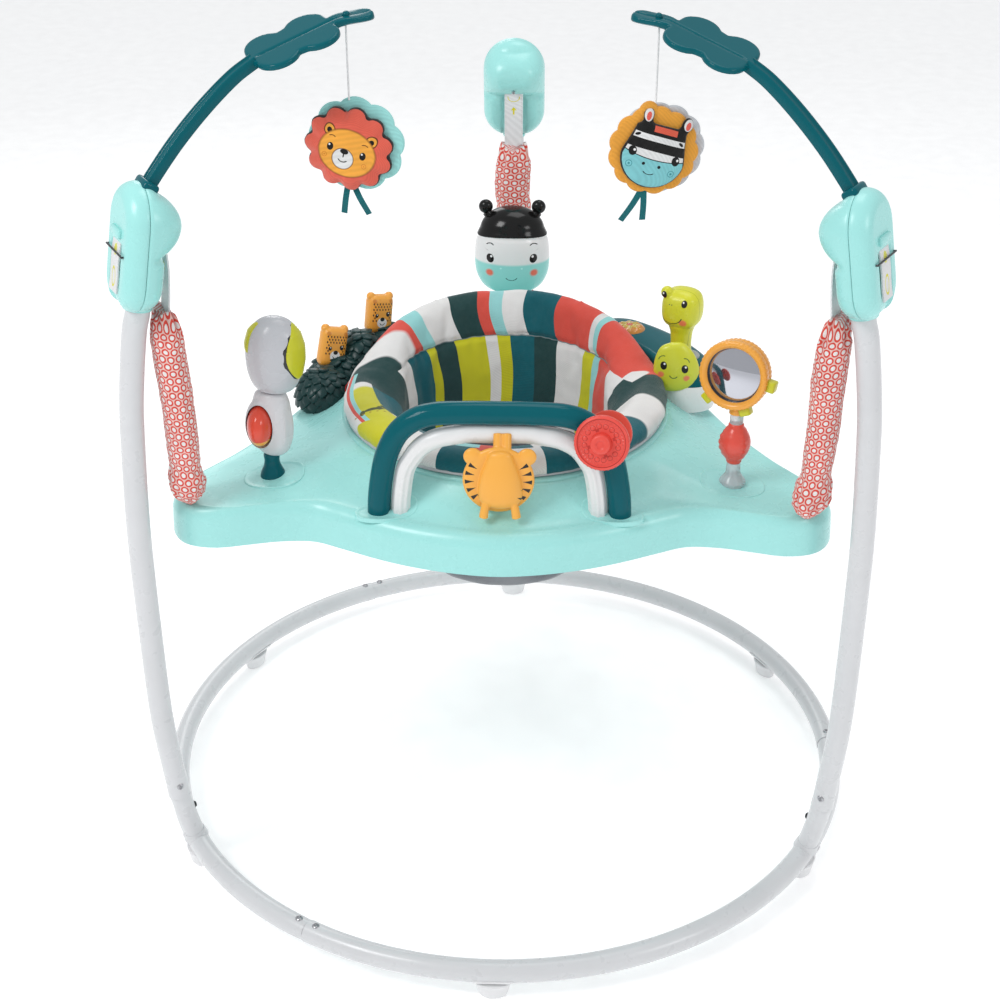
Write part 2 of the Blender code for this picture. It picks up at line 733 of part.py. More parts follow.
def rails(form):
    step = RAIL_OUTER_R + RAIL_INNER_R + 2 * GAP
    outer = pipe("rail_outer", arch(0.0, 0.470), RAIL_OUTER_R, 3)
    inner = pipe("rail_inner", arch(step, 0.470), RAIL_INNER_R, 3)
    axle = bar("spinner_bore", SPINNER_FACE - SPINNER_AXIS * 0.08,
               SPINNER_FACE + SPINNER_AXIS * 0.02, 0.0046, sides=12)
    for rail in (outer, inner):
        boolean(rail, form)
        boolean(rail, axle)
    z = RAIL_TOP_Z - step
    groove = turned("tiger_groove",
                    [(RAIL_NECK[0], RAIL_NECK[1]), (0.0125, RAIL_NECK[1]),
                     (0.0125, -RAIL_NECK[1]), (RAIL_NECK[0], -RAIL_NECK[1]),
                     (RAIL_NECK[0], RAIL_NECK[1])], (0.004, RAIL_Y, z), 16, (1, 0, 0))
    boolean(inner, groove)
    paint(outer, "rail_teal", TEAL, 0.2)
    paint(inner, "rail_white", WHITE, 0.3)


def tiger():
    """A flat tiger that hangs from the rail by a loop round the spindle."""
    z = RAIL_TOP_Z - RAIL_OUTER_R - RAIL_INNER_R - 2 * GAP
    x = 0.004
    half = 0.0110
    loop = bar("tiger", (x - half, RAIL_Y, z), (x + half, RAIL_Y, z), 0.0098, sides=20)
    strap = block("tiger_strap", (x, RAIL_Y - 0.0145, z - 0.016), (2 * half, 0.013, 0.036))
    neck = block("tiger_neck", (x, RAIL_Y - 0.0045, z), (2 * half, 0.009, 0.0120))
    disc = bar("tiger_disc", (x, RAIL_Y - 0.018, 0.5315), (x, RAIL_Y - 0.026, 0.5315),
               0.0375, sides=20)
    body = ball("tiger_body", (x, RAIL_Y - 0.030, 0.5310), (0.044, 0.026, 0.066), 12, 8)
    for part in (neck, strap, disc, body):
        boolean(loop, part, "UNION")
    hole = bar("tiger_hole", (x - 0.02, RAIL_Y, z), (x + 0.02, RAIL_Y, z),
               RAIL_NECK[0] + 0.0006, sides=20)
    boolean(loop, hole)
    boolean(loop, block("tiger_open", (x, RAIL_Y + 0.009, z), (0.04, 0.010, 0.006)))
    paint(loop, "tiger_plastic", AMBER, 0.4)
    return loop


def spinner():
    """Two discs on one axle through the rail's corner."""
    profile = [(0.0, 0.0125), (0.0100, 0.0110), (0.0110, 0.0035), (0.0290, 0.0035),
               (0.0290, -0.0035), (0.0040, -0.0035), (0.0040, -0.0515), (0.0250, -0.0515),
               (0.0250, -0.0570), (0.0, -0.0570)]
    disc = turned("spinner_disc", profile, SPINNER_FACE, 22, SPINNER_AXIS)
    paint(disc, "spinner_plastic", CORAL, 0.4)
    return disc


# ---- Seat --------------------------------------------------------------------------------
def seat_ring():
    """The hard ring that turns in the tray's hole and carries the fabric."""
    top = SEAT_RIM_Z - GAP
    low = TRAY_COLLAR_Z + 2 * GAP
    profile = [(0.1520, top), (0.1860, top), (0.1860, low), (0.1765, low), (0.1765, 0.4740),
               (0.1735, 0.4740), (0.1735, low), (0.1520, low), (0.1520, top)]
    ring = turned("seat_ring", profile, steps=32)
    paint(ring, "seat_ring_plastic", GREY, 0.45)
    return ring


def back_rise(angle):
    """How far the seat's edge rises towards the back: 0 at the front, 1 at the back."""
    lift = max(0.0, math.sin(angle))
    return lift * lift * (3 - 2 * lift)


def seat_fabric():
    """The padded bucket: its rim rests on the seat ring and its back stands up."""
    def ring(rho, z, rise_rho=0.0, rise_z=0.0, back=0.0):
        points = []
        for i in range(SEAT_STEPS):
            angle = 2 * math.pi * i / SEAT_STEPS
            rise = back_rise(angle)
            r = rho + rise * rise_rho
            points.append((r * math.cos(angle), r * math.sin(angle) + back,
                           z + rise * rise_z))
        return points
    rim = SEAT_RIM_Z + GAP
    rings = [ring(0.030, 0.3080, back=0.026), ring(0.075, 0.3180, back=0.022),
             ring(0.124, 0.3650, back=0.006),
             ring(0.1430, 0.4300), ring(0.1480, 0.5000), ring(0.1490, rim),
             ring(0.1810, rim), ring(SEAT_R, 0.5235, 0.0, 0.004),
             ring(0.1845, 0.5290, 0.001, 0.030), ring(0.1760, 0.5325, 0.008, 0.0505),
             ring(0.1640, 0.5335, 0.014, 0.0485), ring(0.1500, 0.5290, 0.012, 0.030),
             ring(0.1415, 0.5150, 0.0, 0.014), ring(0.1380, 0.4900), ring(0.1350, 0.4300),
             ring(0.116, 0.3720, back=0.006), ring(0.070, 0.3270, back=0.022),
             ring(0.028, 0.3180, back=0.026)]
    bucket = skin("seat_fabric", rings)
    for side in (-1, 1):
        aim = math.radians(-90 + side * LEG_AZIMUTH)
        reach = Vector((math.cos(aim), math.sin(aim), -0.12))
        start = Vector((0, 0, 0.3950)) + reach * 0.06
        boolean(bucket, bar("leg_hole_%d" % (side + 1), start, start + reach * 0.16, LEG_R,
                            sides=20))
    paint(bucket, "seat_fabric", TEAL, 0.9)
    return bucket


# ---- Toys on the tray --------------------------------------------------------------------
BEETLE_AT = Vector((-0.2550, -0.1340, 0.0))
MIRROR_AT = Vector((0.2550, -0.1380, 0.0))
ZEBRA_AT = Vector((0.0, 0.3250, 0.0))
ROLLER_AT = Vector((-0.2630, -0.1440, 0.5545))
ROLLER_R = 0.0190
POST_STEM_R = 0.0055


def beetle(form):
    """A grey beetle on a sprung stalk, with a ball that rolls in its belly."""
    x, y = BEETLE_AT.x, BEETLE_AT.y
    post = turned("beetle_post", [(0.0, 0.5150), (0.0075, 0.5150), (0.0068, 0.5000),
                                  (0.0120, 0.4925), (0.0135, 0.4700), (0.0, 0.4700)],
                  (x, y, 0), 20)
    boolean(post, form)
    paint(post, "post_teal", TEAL, 0.3)
    body = ball("beetle_body", (x - 0.003, y, 0.5535), (0.051, 0.034, 0.0765), 14, 10)
    boolean(body, ball("roller_socket", ROLLER_AT, [2 * ROLLER_R + 0.0020] * 3, 14, 10))
    boolean(body, bar("beetle_bore", (x, y, 0.500), (x, y, 0.5150 + GAP), 0.0078, sides=20))
    paint(body, "beetle_grey", GREY, 0.35)
    roller = ball("roller_ball", ROLLER_AT, [2 * ROLLER_R] * 3, 14, 10)
    paint(roller, "roller_coral", CORAL, 0.3)
    head = ball("beetle_head", (x + 0.008, y, 0.6330), (0.062, 0.046, 0.0830), 14, 10)
    boolean(head, block("beetle_neck_cut", (x, y, 0.5760), (0.08, 0.08, 0.0330)))
    boolean(body, block("beetle_top_cut", (x, y, 0.6022), (0.08, 0.08, 0.0200)))
    paint(head, "beetle_grey", GREY, 0.35)
    return post, body, roller, head


MIRROR_CENTRE = Vector((0.2470, -0.1400, 0.6165))
MIRROR_FACE = Vector((-0.36, -0.90, 0.10)).normalized()


def mirror_toy(form):
    """A baby-safe mirror in a ribbed ring, on a stalk with a bead that spins."""
    x, y = MIRROR_AT.x, MIRROR_AT.y
    post = turned("mirror_post", [(0.0, 0.5780), (0.0048, 0.5780), (0.0048, 0.5630),
                                  (0.0040, 0.5620), (0.0040, 0.5150), (0.0085, 0.5145),
                                  (0.0095, 0.5000), (0.0145, 0.4925), (0.0155, 0.4700),
                                  (0.0, 0.4700)], (x, y, 0), 20)
    boolean(post, form)
    paint(post, "mirror_post_grey", GREY, 0.2)
    bead = turned("mirror_bead", [(0.0046, 0.5610), (0.0090, 0.5610), (0.0165, 0.5520),
                                  (0.0205, 0.5385), (0.0165, 0.5240), (0.0090, 0.5160),
                                  (0.0046, 0.5160), (0.0046, 0.5610)], (x, y, 0), 20)
    paint(bead, "bead_coral", CORAL, 0.35)
    frame = turned("mirror_frame", [(0.0300, 0.0060), (0.0340, 0.0075), (0.0385, 0.0040),
                                    (0.0385, -0.0040), (0.0340, -0.0075), (0.0, -0.0075),
                                    (0.0, -0.0025), (0.0300, -0.0025), (0.0300, 0.0060)],
                   MIRROR_CENTRE, 24, MIRROR_FACE)
    collar = bar("mirror_collar", (x, y, 0.5640), (x, y, 0.5900), 0.0085, sides=16)
    boolean(frame, collar, "UNION")
    boolean(frame, turned("mirror_seat", [(0.0, 0.02), (0.0300, 0.02), (0.0300, -0.0025),
                                          (0.0, -0.0025)], MIRROR_CENTRE, 24, MIRROR_FACE))
    boolean(frame, bar("mirror_bore", (x, y, 0.5600), (x, y, 0.5784), 0.0051, sides=20))
    paint(frame, "mirror_amber", AMBER, 0.4)
    glass = turned("mirror_glass", [(0.0, 0.0010), (0.0290, 0.0010), (0.0297, -0.0002),
                                    (0.0297, -0.0022), (0.0, -0.0022)],
                   MIRROR_CENTRE, 24, MIRROR_FACE)
    paint(glass, "mirror_glass", (0.8, 0.82, 0.84), 0.05, 1.0)
    return post, bead, frame, glass


def band(name, rho, azimuths, low, high, steps=8, ends=5):
    """A curved block with round ends that follows the seat's edge."""
    inner, outer = rho
    first, last = azimuths
    middle = (inner + outer) / 2
    half = (outer - inner) / 2
    outline = arc((0, 0), outer, first, last, steps)
    tip = arc((0, 0), middle, last, last, 1)[0]
    outline += arc(tip, half, last, last + 180, ends)[1:-1]
    outline += arc((0, 0), inner, last, first, steps)
    tip = arc((0, 0), middle, first, first, 1)[0]
    outline += arc(tip, half, first + 180, first + 360, ends)[1:-1]
    return plate(name, outline, high - low, Matrix.Translation((0, 0, (low + high) / 2)))


CONSOLE_RHO = (0.1925, 0.2600)
CONSOLE_AZIMUTHS = (22, 58)
CONSOLE_SPLIT_Z = 0.5240
CONSOLE_TOP_Z = 0.5440
FROG_AT = Vector((0.2090, 0.0850, 0.0))
FLOWER_AT = Vector((0.1510, 0.1680, 0.0))
TURTLE_AT = Vector((0.2080, 0.0480, 0.5330))


def console(form):
    """A sound box with a frog, a turtle face and a flower button."""
    base = band("console_base", CONSOLE_RHO, CONSOLE_AZIMUTHS, 0.470, CONSOLE_SPLIT_Z - GAP)
    boolean(base, form)
    paint(base, "console_white", WHITE, 0.35)
    top = band("console_top", CONSOLE_RHO, CONSOLE_AZIMUTHS, CONSOLE_SPLIT_Z, CONSOLE_TOP_Z)
    bevel(top, 0.006, 2, 60)
    paint(top, "console_teal", TEAL, 0.3)
    button = bar("flower_button", (FLOWER_AT.x, FLOWER_AT.y, 0.5360),
                 (FLOWER_AT.x, FLOWER_AT.y, CONSOLE_TOP_Z + 0.0055), 0.0200, sides=20)
    bevel(button, 0.002, 1, 60)
    paint(button, "flower_orange", AMBER, 0.25)
    well = bar("flower_well", (FLOWER_AT.x, FLOWER_AT.y, 0.5315),
               (FLOWER_AT.x, FLOWER_AT.y, 0.5600), 0.0206, sides=20)
    boolean(top, well)
    frog = turned("frog", [(0.0, 0.6350), (0.0150, 0.6290), (0.0245, 0.6140), (0.0240, 0.6010),
                           (0.0150, 0.5900), (0.0105, 0.5860), (0.0100, 0.5640),
                           (0.0120, CONSOLE_TOP_Z + GAP), (0.0, CONSOLE_TOP_Z + GAP)],
                  (FROG_AT.x, FROG_AT.y, 0), 14)
    for side in (-1, 1):
        eye = ball("frog_eye_%d" % (side + 1), (FROG_AT.x + side * 0.0130, FROG_AT.y - 0.004,
                                                0.6310), (0.015, 0.015, 0.017), 10, 6)
        boolean(frog, eye, "UNION")
    paint(frog, "frog_lime", LIME, 0.4)
    turtle = ball("turtle", TURTLE_AT, (0.052, 0.022, 0.066), 14, 8)
    slot = ball("turtle_slot", TURTLE_AT, (0.0540, 0.0245, 0.0680), 14, 8)
    slot.matrix_basis = Matrix.Translation((0, 0.0032, 0)) @ slot.matrix_basis
    still = ball("turtle_clear", TURTLE_AT, (0.0540, 0.0245, 0.0680), 14, 8)
    for shell in (base, top):
        boolean(shell, slot)
        boolean(shell, still)
    boolean(turtle, form)
    paint(turtle, "turtle_lime", LIME, 0.4)
    return base, top, button, frog, turtle


CUBS = {"front": (156, 0.5310), "rear": (134, 0.5460)}       # azimuth, height of the pivot
CUB_RHO = 0.2290


def planter(form):
    """Two clumps of leaves that hold the rocking cubs."""
    bush = band("planter", (0.1930, 0.2610), (126, 160), 0.470, 0.5330, 6, 4)
    bevel(bush, 0.012, 1, 60)
    lump = ball("planter_rear", (-0.1500, 0.1640, 0.5290), (0.094, 0.070, 0.050), 14, 8)
    boolean(bush, lump, "UNION")
    boolean(bush, form)
    boolean(bush, turned("planter_clear", [(0.0, 0.60), (0.1890, 0.60), (0.1890, 0.45),
                                           (0.0, 0.45)], steps=48))
    paint(bush, "planter_pine", PINE, 0.5)
    return bush


def cub(name, bush):
    """A square-faced cub that rocks on a round foot let into the leaves."""
    azimuth, pivot_z = CUBS[name]
    start = len(made)
    face = block("cub_" + name, (CUB_RHO, 0, pivot_z + 0.0210), (0.0150, 0.0270, 0.0360), 0.004)
    foot_bar = bar("cub_foot_" + name, (CUB_RHO - 0.0075, 0, pivot_z),
                   (CUB_RHO + 0.0075, 0, pivot_z), 0.0125, sides=20)
    boolean(face, foot_bar, "UNION")
    for side in (-1, 1):
        ear = bar("cub_ear_%s_%d" % (name, side + 1), (CUB_RHO - 0.004, side * 0.0105,
                                                        pivot_z + 0.0385),
                  (CUB_RHO + 0.004, side * 0.0105, pivot_z + 0.0385), 0.0050, sides=10)
        boolean(face, ear, "UNION")
    well = bar("cub_well_" + name, (CUB_RHO - 0.0083, 0, pivot_z),
               (CUB_RHO + 0.0083, 0, pivot_z), 0.0150, sides=24)
    mouth = block("cub_mouth_" + name, (CUB_RHO, 0, pivot_z + 0.0250), (0.0166, 0.0560, 0.0460))
    paint(face, "cub_amber", AMBER, 0.45)
    turn_group(start, azimuth)
    boolean(bush, well)
    boolean(bush, mouth)
    return face


def zebra(tray):
    """A zebra's head that turns on a post moulded on the tray's rear lobe."""
    x, y = ZEBRA_AT.x, ZEBRA_AT.y
    head = ball("zebra_head", (x, y, 0.5890), (0.098, 0.074, 0.116), 16, 10)
    for side in (-1, 1):
        ear = ball("zebra_ear_%d" % (side + 1), (x + side * 0.0350, y, 0.6410),
                   (0.020, 0.018, 0.038), 10, 6)
        boolean(head, ear, "UNION")
    boolean(head, bar("zebra_bore", (x, y, 0.5200), (x, y, 0.5600), 0.0086, sides=20))
    paint(head, "zebra_white", WHITE, 0.35)
    post = turned("zebra_post", [(0.0, 0.5590), (0.0080, 0.5590), (0.0080, 0.5300),
                                 (0.0125, 0.5280), (0.0160, 0.4800), (0.0, 0.4800)],
                  (x, y, 0), 20)
    boolean(tray, post, "UNION")
    return head


# ---- Assembly ----------------------------------------------------------------------------
def hang(objects, name, point, parent):
    """Parent a moving body's objects to an empty that stands on its joint's axis."""
    pivot = bpy.data.objects.new(name, None)
    JUMPER.objects.link(pivot)
    pivot.parent = parent
    pivot.location = point
    for obj in objects:
        obj.parent = pivot
        obj.matrix_basis = Matrix.Translation(-Vector(point)) @ obj.matrix_basis


def build():
    for side in SIDES:
        base_tube(side)
        upright(side)
        tower(side)
        hanger_strap(side)
        strap_tail(side)
        spring(side)
        spring_cover(side)
    feet()
    for side in ("left", "right"):
        toy_arm(side)
    hanging_toy("lion", "left", (0.100, 0.022, 0.094), CORAL)
    hanging_toy("zebra_toy", "right", (0.096, 0.022, 0.098), AMBER)
    tray = tray_shell()
    form = tray_form("tray_form")
    rails(form)
    seat_ring()
    seat_fabric()
    beetle(form)
    mirror_toy(form)
    console(form)
    bush = planter(form)
    for name in CUBS:
        cub(name, bush)
    zebra(tray)
    tiger()
    spinner()

    centre = bpy.data.objects.new("ring_axis", None)
    JUMPER.objects.link(centre)
    centre.location = (0, AXIS_Y, 0)
    objects = {obj.name: obj for obj in made}
    placed = set()

    def hang_named(names, pivot, point):
        group = [objects[name] for name in names]
        hang(group, pivot, point, centre)
        placed.update(names)

    rail_z = RAIL_TOP_Z - RAIL_OUTER_R - RAIL_INNER_R - 2 * GAP
    hang_named(["tiger"], "tiger_pivot", (0.004, RAIL_Y, rail_z))
    hang_named(["spinner_disc"], "spinner_pivot", SPINNER_FACE)
    hang_named(["seat_ring", "seat_fabric"], "seat_pivot", (0, 0, 0.500))
    hang_named(["beetle_head"], "beetle_head_pivot", BEETLE_AT + Vector((0, 0, 0.592)))
    hang_named(["roller_ball"], "roller_pivot", ROLLER_AT)
    hang_named(["mirror_frame", "mirror_glass"], "mirror_pivot",
               MIRROR_AT + Vector((0, 0, 0.578)))
    hang_named(["mirror_bead"], "bead_pivot", MIRROR_AT + Vector((0, 0, 0.538)))
    hang_named(["zebra_head"], "zebra_pivot", ZEBRA_AT + Vector((0, 0, 0.559)))
    hang_named(["frog"], "frog_pivot", FROG_AT + Vector((0, 0, CONSOLE_TOP_Z + GAP)))
    hang_named(["turtle"], "turtle_pivot", TURTLE_AT)
    hang_named(["flower_button"], "flower_pivot", FLOWER_AT + Vector((0, 0, 0.545)))
    for name, (azimuth, pivot_z) in CUBS.items():
        angle = math.radians(azimuth)
        hang_named(["cub_" + name], "cub_%s_pivot" % name,
                   (CUB_RHO * math.cos(angle), CUB_RHO * math.sin(angle), pivot_z))
    for name, side in (("lion", "left"), ("zebra_toy", "right")):
        angle = math.radians(SIDES[side])
        hang_named([name + "_string", name + "_pad"], name + "_pivot",
                   (STRING_RHO * math.cos(angle), STRING_RHO * math.sin(angle), STRING_TOP_Z))
    for name, obj in objects.items():
        if name not in placed:
            obj.parent = centre


build()
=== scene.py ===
"""The looks of the activity jumper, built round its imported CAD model.

Shapes are made round the base ring's vertical axis, with -Y to the front, +Z up and the floor at
z = 0, in metres; add() shifts them to the model's own frame.  "rho" is a distance from that axis
and "azimuth" an angle round it, in degrees from +X.  Printed patterns are drawn in millimetres.
"""
import math

import bmesh
import bpy
from mathutils import Matrix, Vector, noise


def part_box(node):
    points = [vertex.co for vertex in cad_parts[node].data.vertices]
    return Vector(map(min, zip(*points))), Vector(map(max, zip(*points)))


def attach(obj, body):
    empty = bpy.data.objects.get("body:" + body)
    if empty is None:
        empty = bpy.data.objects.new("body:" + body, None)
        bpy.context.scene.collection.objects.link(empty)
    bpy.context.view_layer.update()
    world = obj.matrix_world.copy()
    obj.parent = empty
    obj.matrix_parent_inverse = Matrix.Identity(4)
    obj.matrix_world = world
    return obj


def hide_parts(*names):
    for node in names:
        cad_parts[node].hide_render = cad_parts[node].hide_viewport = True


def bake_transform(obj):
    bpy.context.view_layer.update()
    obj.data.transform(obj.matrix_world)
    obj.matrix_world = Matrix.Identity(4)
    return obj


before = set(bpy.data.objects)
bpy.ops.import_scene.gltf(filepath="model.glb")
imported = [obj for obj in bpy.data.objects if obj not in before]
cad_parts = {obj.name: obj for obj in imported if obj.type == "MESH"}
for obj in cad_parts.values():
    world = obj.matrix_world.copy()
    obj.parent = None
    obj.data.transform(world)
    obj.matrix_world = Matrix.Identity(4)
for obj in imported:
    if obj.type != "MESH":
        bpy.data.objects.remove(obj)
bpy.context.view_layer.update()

seat_low, seat_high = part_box("seat_ring")
AXIS = Vector((0.0, (seat_low.y + seat_high.y) / 2, 0.0))
SIDES = {"right": 330, "back": 90, "left": 210}
TUBE_R = 0.0127

WHITE = (0.80, 0.80, 0.80)
AQUA = (0.36, 0.76, 0.73)
TEAL = (0.002, 0.105, 0.130)
CORAL = (0.76, 0.085, 0.058)
AMBER = (0.90, 0.40, 0.055)
LIME = (0.60, 0.60, 0.020)
GREY = (0.52, 0.53, 0.56)
BLACK = (0.006, 0.006, 0.006)
STEEL = (0.45, 0.45, 0.47)


# ---- Camera, light and floor ---------------------------------------------------------------
def studio():
    scene = bpy.context.scene
    scene.view_settings.view_transform = "Standard"
    lens = bpy.data.cameras.new("camera")
    lens.lens = 59.94
    lens.sensor_width = 36
    lens.shift_x = -0.0048
    camera = bpy.data.objects.new("camera", lens)
    scene.collection.objects.link(camera)
    camera.location = Vector((0.0531, -1.7689, 1.3473)) + AXIS
    aim = Vector((0, 0, 0.388)) + AXIS - camera.location
    camera.rotation_euler = aim.to_track_quat("-Z", "Y").to_euler()
    scene.camera = camera

    world = bpy.data.worlds.new("studio")
    world.use_nodes = True
    sky = world.node_tree.nodes["Background"]
    sky.inputs["Color"].default_value = (0.97, 0.985, 1.0, 1)
    sky.inputs["Strength"].default_value = 0.62
    scene.world = world
    for name, place, size, power in (("key", (-1.5, -1.3, 2.4), 0.9, 27),
                                     ("fill", (1.9, -1.4, 1.7), 0.7, 8),
                                     ("top", (0.3, 0.6, 2.9), 1.2, 12),
                                     ("rim", (-0.6, 2.4, 1.8), 1.0, 8)):
        lamp = bpy.data.lights.new(name, "AREA")
        lamp.size = size
        lamp.energy = power
        light = bpy.data.objects.new(name, lamp)
        scene.collection.objects.link(light)
        light.location = place
        light.rotation_euler = (Vector((0, 0, 0.5)) - light.location).to_track_quat("-Z", "Y").to_euler()

    surface = Surface("studio_floor", 0.9, Emission_Strength=0.30)
    surface.shader.inputs["Emission Color"].default_value = (1, 1, 1, 1)
    cloud = surface.noise(3.0, 2)
    surface.colour = surface.mix(cloud, (0.93, 0.93, 0.935), (0.95, 0.95, 0.95))
    surface.close()
    shape = bmesh.new()
    bmesh.ops.create_circle(shape, cap_ends=True, segments=96, radius=9)
    mesh = bpy.data.meshes.new("floor")
    shape.to_mesh(mesh)
    shape.free()
    mesh.materials.append(surface.material)
    floor = bpy.data.objects.new("floor", mesh)
    floor.location.z = -0.0005
    scene.collection.objects.link(floor)


# ---- Materials -----------------------------------------------------------------------------
class Surface:
    """A procedural material: its colour is a stack of layers, and close() wires it up."""

    def __init__(self, name, rough=0.35, colour=(0.8, 0.8, 0.8), **shader):
        self.material = bpy.data.materials.new(name)
        self.material.use_nodes = True
        self.tree = self.material.node_tree
        self.shader = self.tree.nodes["Principled BSDF"]
        self.rough = rough
        self.height = None
        self.colour = colour
        for key, value in shader.items():
            self.shader.inputs[key.replace("_", " ")].default_value = value
        self.place = self.node("ShaderNodeTexCoord").outputs["Object"]

    def node(self, kind, *inputs, **settings):
        new = self.tree.nodes.new(kind)
        for key, value in settings.items():
            setattr(new, key, value)
        for socket, value in zip(new.inputs, inputs):
            self.feed(socket, value)
        return new

    def feed(self, socket, value):
        if isinstance(value, bpy.types.NodeSocket):
            self.tree.links.new(value, socket)
        elif value is not None:
            if socket.type == "RGBA" and len(value) == 3:
                value = (*value, 1.0)
            socket.default_value = value

    def math(self, operation, *inputs):
        return self.node("ShaderNodeMath", *inputs, operation=operation).outputs[0]

    def times(self, one, other):
        return self.math("MULTIPLY", one, other)

    def plus(self, one, other):
        return self.math("ADD", one, other)

    def minus(self, one, other):
        return self.math("SUBTRACT", one, other)

    def below(self, value, limit):
        return self.math("LESS_THAN", value, limit)

    def above(self, value, limit):
        return self.math("GREATER_THAN", value, limit)

    def span(self, value):
        return self.math("ABSOLUTE", value)

    def vector(self, operation, *inputs):
        new = self.node("ShaderNodeVectorMath", *inputs, operation=operation)
        return new.outputs[1 if operation in ("DOT_PRODUCT", "LENGTH") else 0]

    def scaled(self, vector, size):
        new = self.node("ShaderNodeVectorMath", vector, operation="SCALE")
        self.feed(new.inputs["Scale"], size)
        return new.outputs[0]

    def mix(self, factor, below, above, blend="MIX"):
        new = self.tree.nodes.new("ShaderNodeMix")
        new.data_type = "RGBA"
        new.blend_type = blend
        for index, value in ((0, factor), (6, below), (7, above)):
            self.feed(new.inputs[index], value)
        return new.outputs[2]

    def ramp(self, value, low, high, to_low=0.0, to_high=1.0):
        return self.node("ShaderNodeMapRange", value, low, high, to_low, to_high).outputs[0]

    def noise(self, scale, detail=3, where=None):
        new = self.node("ShaderNodeTexNoise")
        self.feed(new.inputs["Vector"], where or self.place)
        new.inputs["Scale"].default_value = scale
        new.inputs["Detail"].default_value = detail
        return new.outputs[0]

    def wave(self, direction, period):
        """A smooth ridge pattern along a direction, 0 to 1."""
        along = self.vector("DOT_PRODUCT", self.place, Vector(direction).normalized())
        turn = self.times(along, 2 * math.pi / period)
        return self.ramp(self.math("SINE", turn), -1, 1)

    def plane(self, origin, across, up):
        """Start drawing on a plane: millimetres across and up from an origin."""
        across = Vector(across).normalized()
        up = Vector(up).normalized()
        away = self.vector("SUBTRACT", self.place, Vector(origin) + AXIS)
        self.u = self.times(self.vector("DOT_PRODUCT", away, across), 1000)
        self.v = self.times(self.vector("DOT_PRODUCT", away, up), 1000)
        out = self.vector("DOT_PRODUCT", away, across.cross(up))
        self.depth = self.times(out, 1000)
        self.flat = self.node("ShaderNodeCombineXYZ", self.u, self.v, 0.0).outputs[0]

    def reach(self, centre, radii, turn=0.0):
        """Distance from a point, as a share of the radii."""
        if not hasattr(radii, "__len__"):
            radii = (radii, radii)
        new = self.node("ShaderNodeMapping", self.flat, (*centre, 0), (0, 0, math.radians(turn)),
                        (*radii, 1), vector_type="TEXTURE")
        return new.outputs[0]

    def oval(self, centre, radii, turn=0.0, soft=0.04):
        size = self.vector("LENGTH", self.reach(centre, radii, turn))
        return self.ramp(size, 1 + soft, 1 - soft)

    def stroke(self, centre, radii, line, turn=0.0, part=-2.0):
        """A line along an oval; part keeps what lies below that share of its height."""
        where = self.reach(centre, radii, turn)
        radius = radii if not hasattr(radii, "__len__") else radii[0]
        off = self.span(self.minus(self.vector("LENGTH", where), 1.0))
        edge = self.below(off, line / 2 / radius)
        if part == -2.0:
            return edge
        height = self.node("ShaderNodeSeparateXYZ", where).outputs[1]
        return self.times(edge, self.below(height, part))

    def between(self, value, low, high):
        return self.times(self.above(value, low), self.below(value, high))

    def both(self, one, other):
        return self.times(one, other)

    def paint(self, colour, mask):
        self.colour = self.mix(mask, self.colour, colour)

    def eye(self, centre, radii, glint=(0.35, 0.4), turn=0.0):
        self.paint(BLACK, self.oval(centre, radii, turn))
        spot = (centre[0] + radii[0] * glint[0], centre[1] + radii[1] * glint[1])
        self.paint((0.9, 0.9, 0.9), self.oval(spot, (radii[0] * 0.3, radii[1] * 0.26)))

    def front_only(self, plain, depth):
        """What is drawn stays on the side that faces the plane's front."""
        self.colour = self.mix(self.above(self.depth, depth), plain, self.colour)

    def bump(self, height, distance):
        """Add a height, 0 to 1, that stands for a distance in metres."""
        size = self.times(height, distance)
        self.height = size if self.height is None else self.plus(self.height, size)

    def close(self, shade=0.05, patch=22.0):
        """Uneven colour and roughness, then the bump and the shader's links."""
        uneven = self.noise(patch, 4)
        tone = self.ramp(uneven, 0.3, 0.7, 1 - shade, 1 + shade / 2)
        self.feed(self.shader.inputs["Base Color"], self.scaled(self.node_colour(), tone))
        rough = self.ramp(self.noise(patch * 6, 3), 0.3, 0.7, self.rough * 0.85, self.rough * 1.15)
        self.feed(self.shader.inputs["Roughness"], rough)
        if self.height is not None:
            bump = self.node("ShaderNodeBump")
            bump.inputs["Strength"].default_value = 1.0
            bump.inputs["Distance"].default_value = 1.0
            self.feed(bump.inputs["Height"], self.height)
            self.feed(self.shader.inputs["Normal"], bump.outputs[0])
        return self.material

    def node_colour(self):
        if isinstance(self.colour, bpy.types.NodeSocket):
            return self.colour
        return self.mix(self.noise(60, 2), self.colour, [c * 0.96 for c in self.colour])


def moulded(surface, grain=0.000004, wear=0.015):
    """Moulded plastic: a fine orange peel and paler rubbed edges."""
    surface.bump(surface.noise(320, 1), grain)
    edge = surface.node("ShaderNodeNewGeometry").outputs["Pointiness"]
    rubbed = surface.times(surface.ramp(edge, 0.66, 0.85, 0, wear), surface.noise(140, 4))
    surface.colour = surface.mix(rubbed, surface.node_colour(), (0.9, 0.9, 0.9))
    return surface.close(0.015, 9.0)


def plastic(name, colour, rough=0.32, **shader):
    return moulded(Surface(name, rough, colour, **shader))


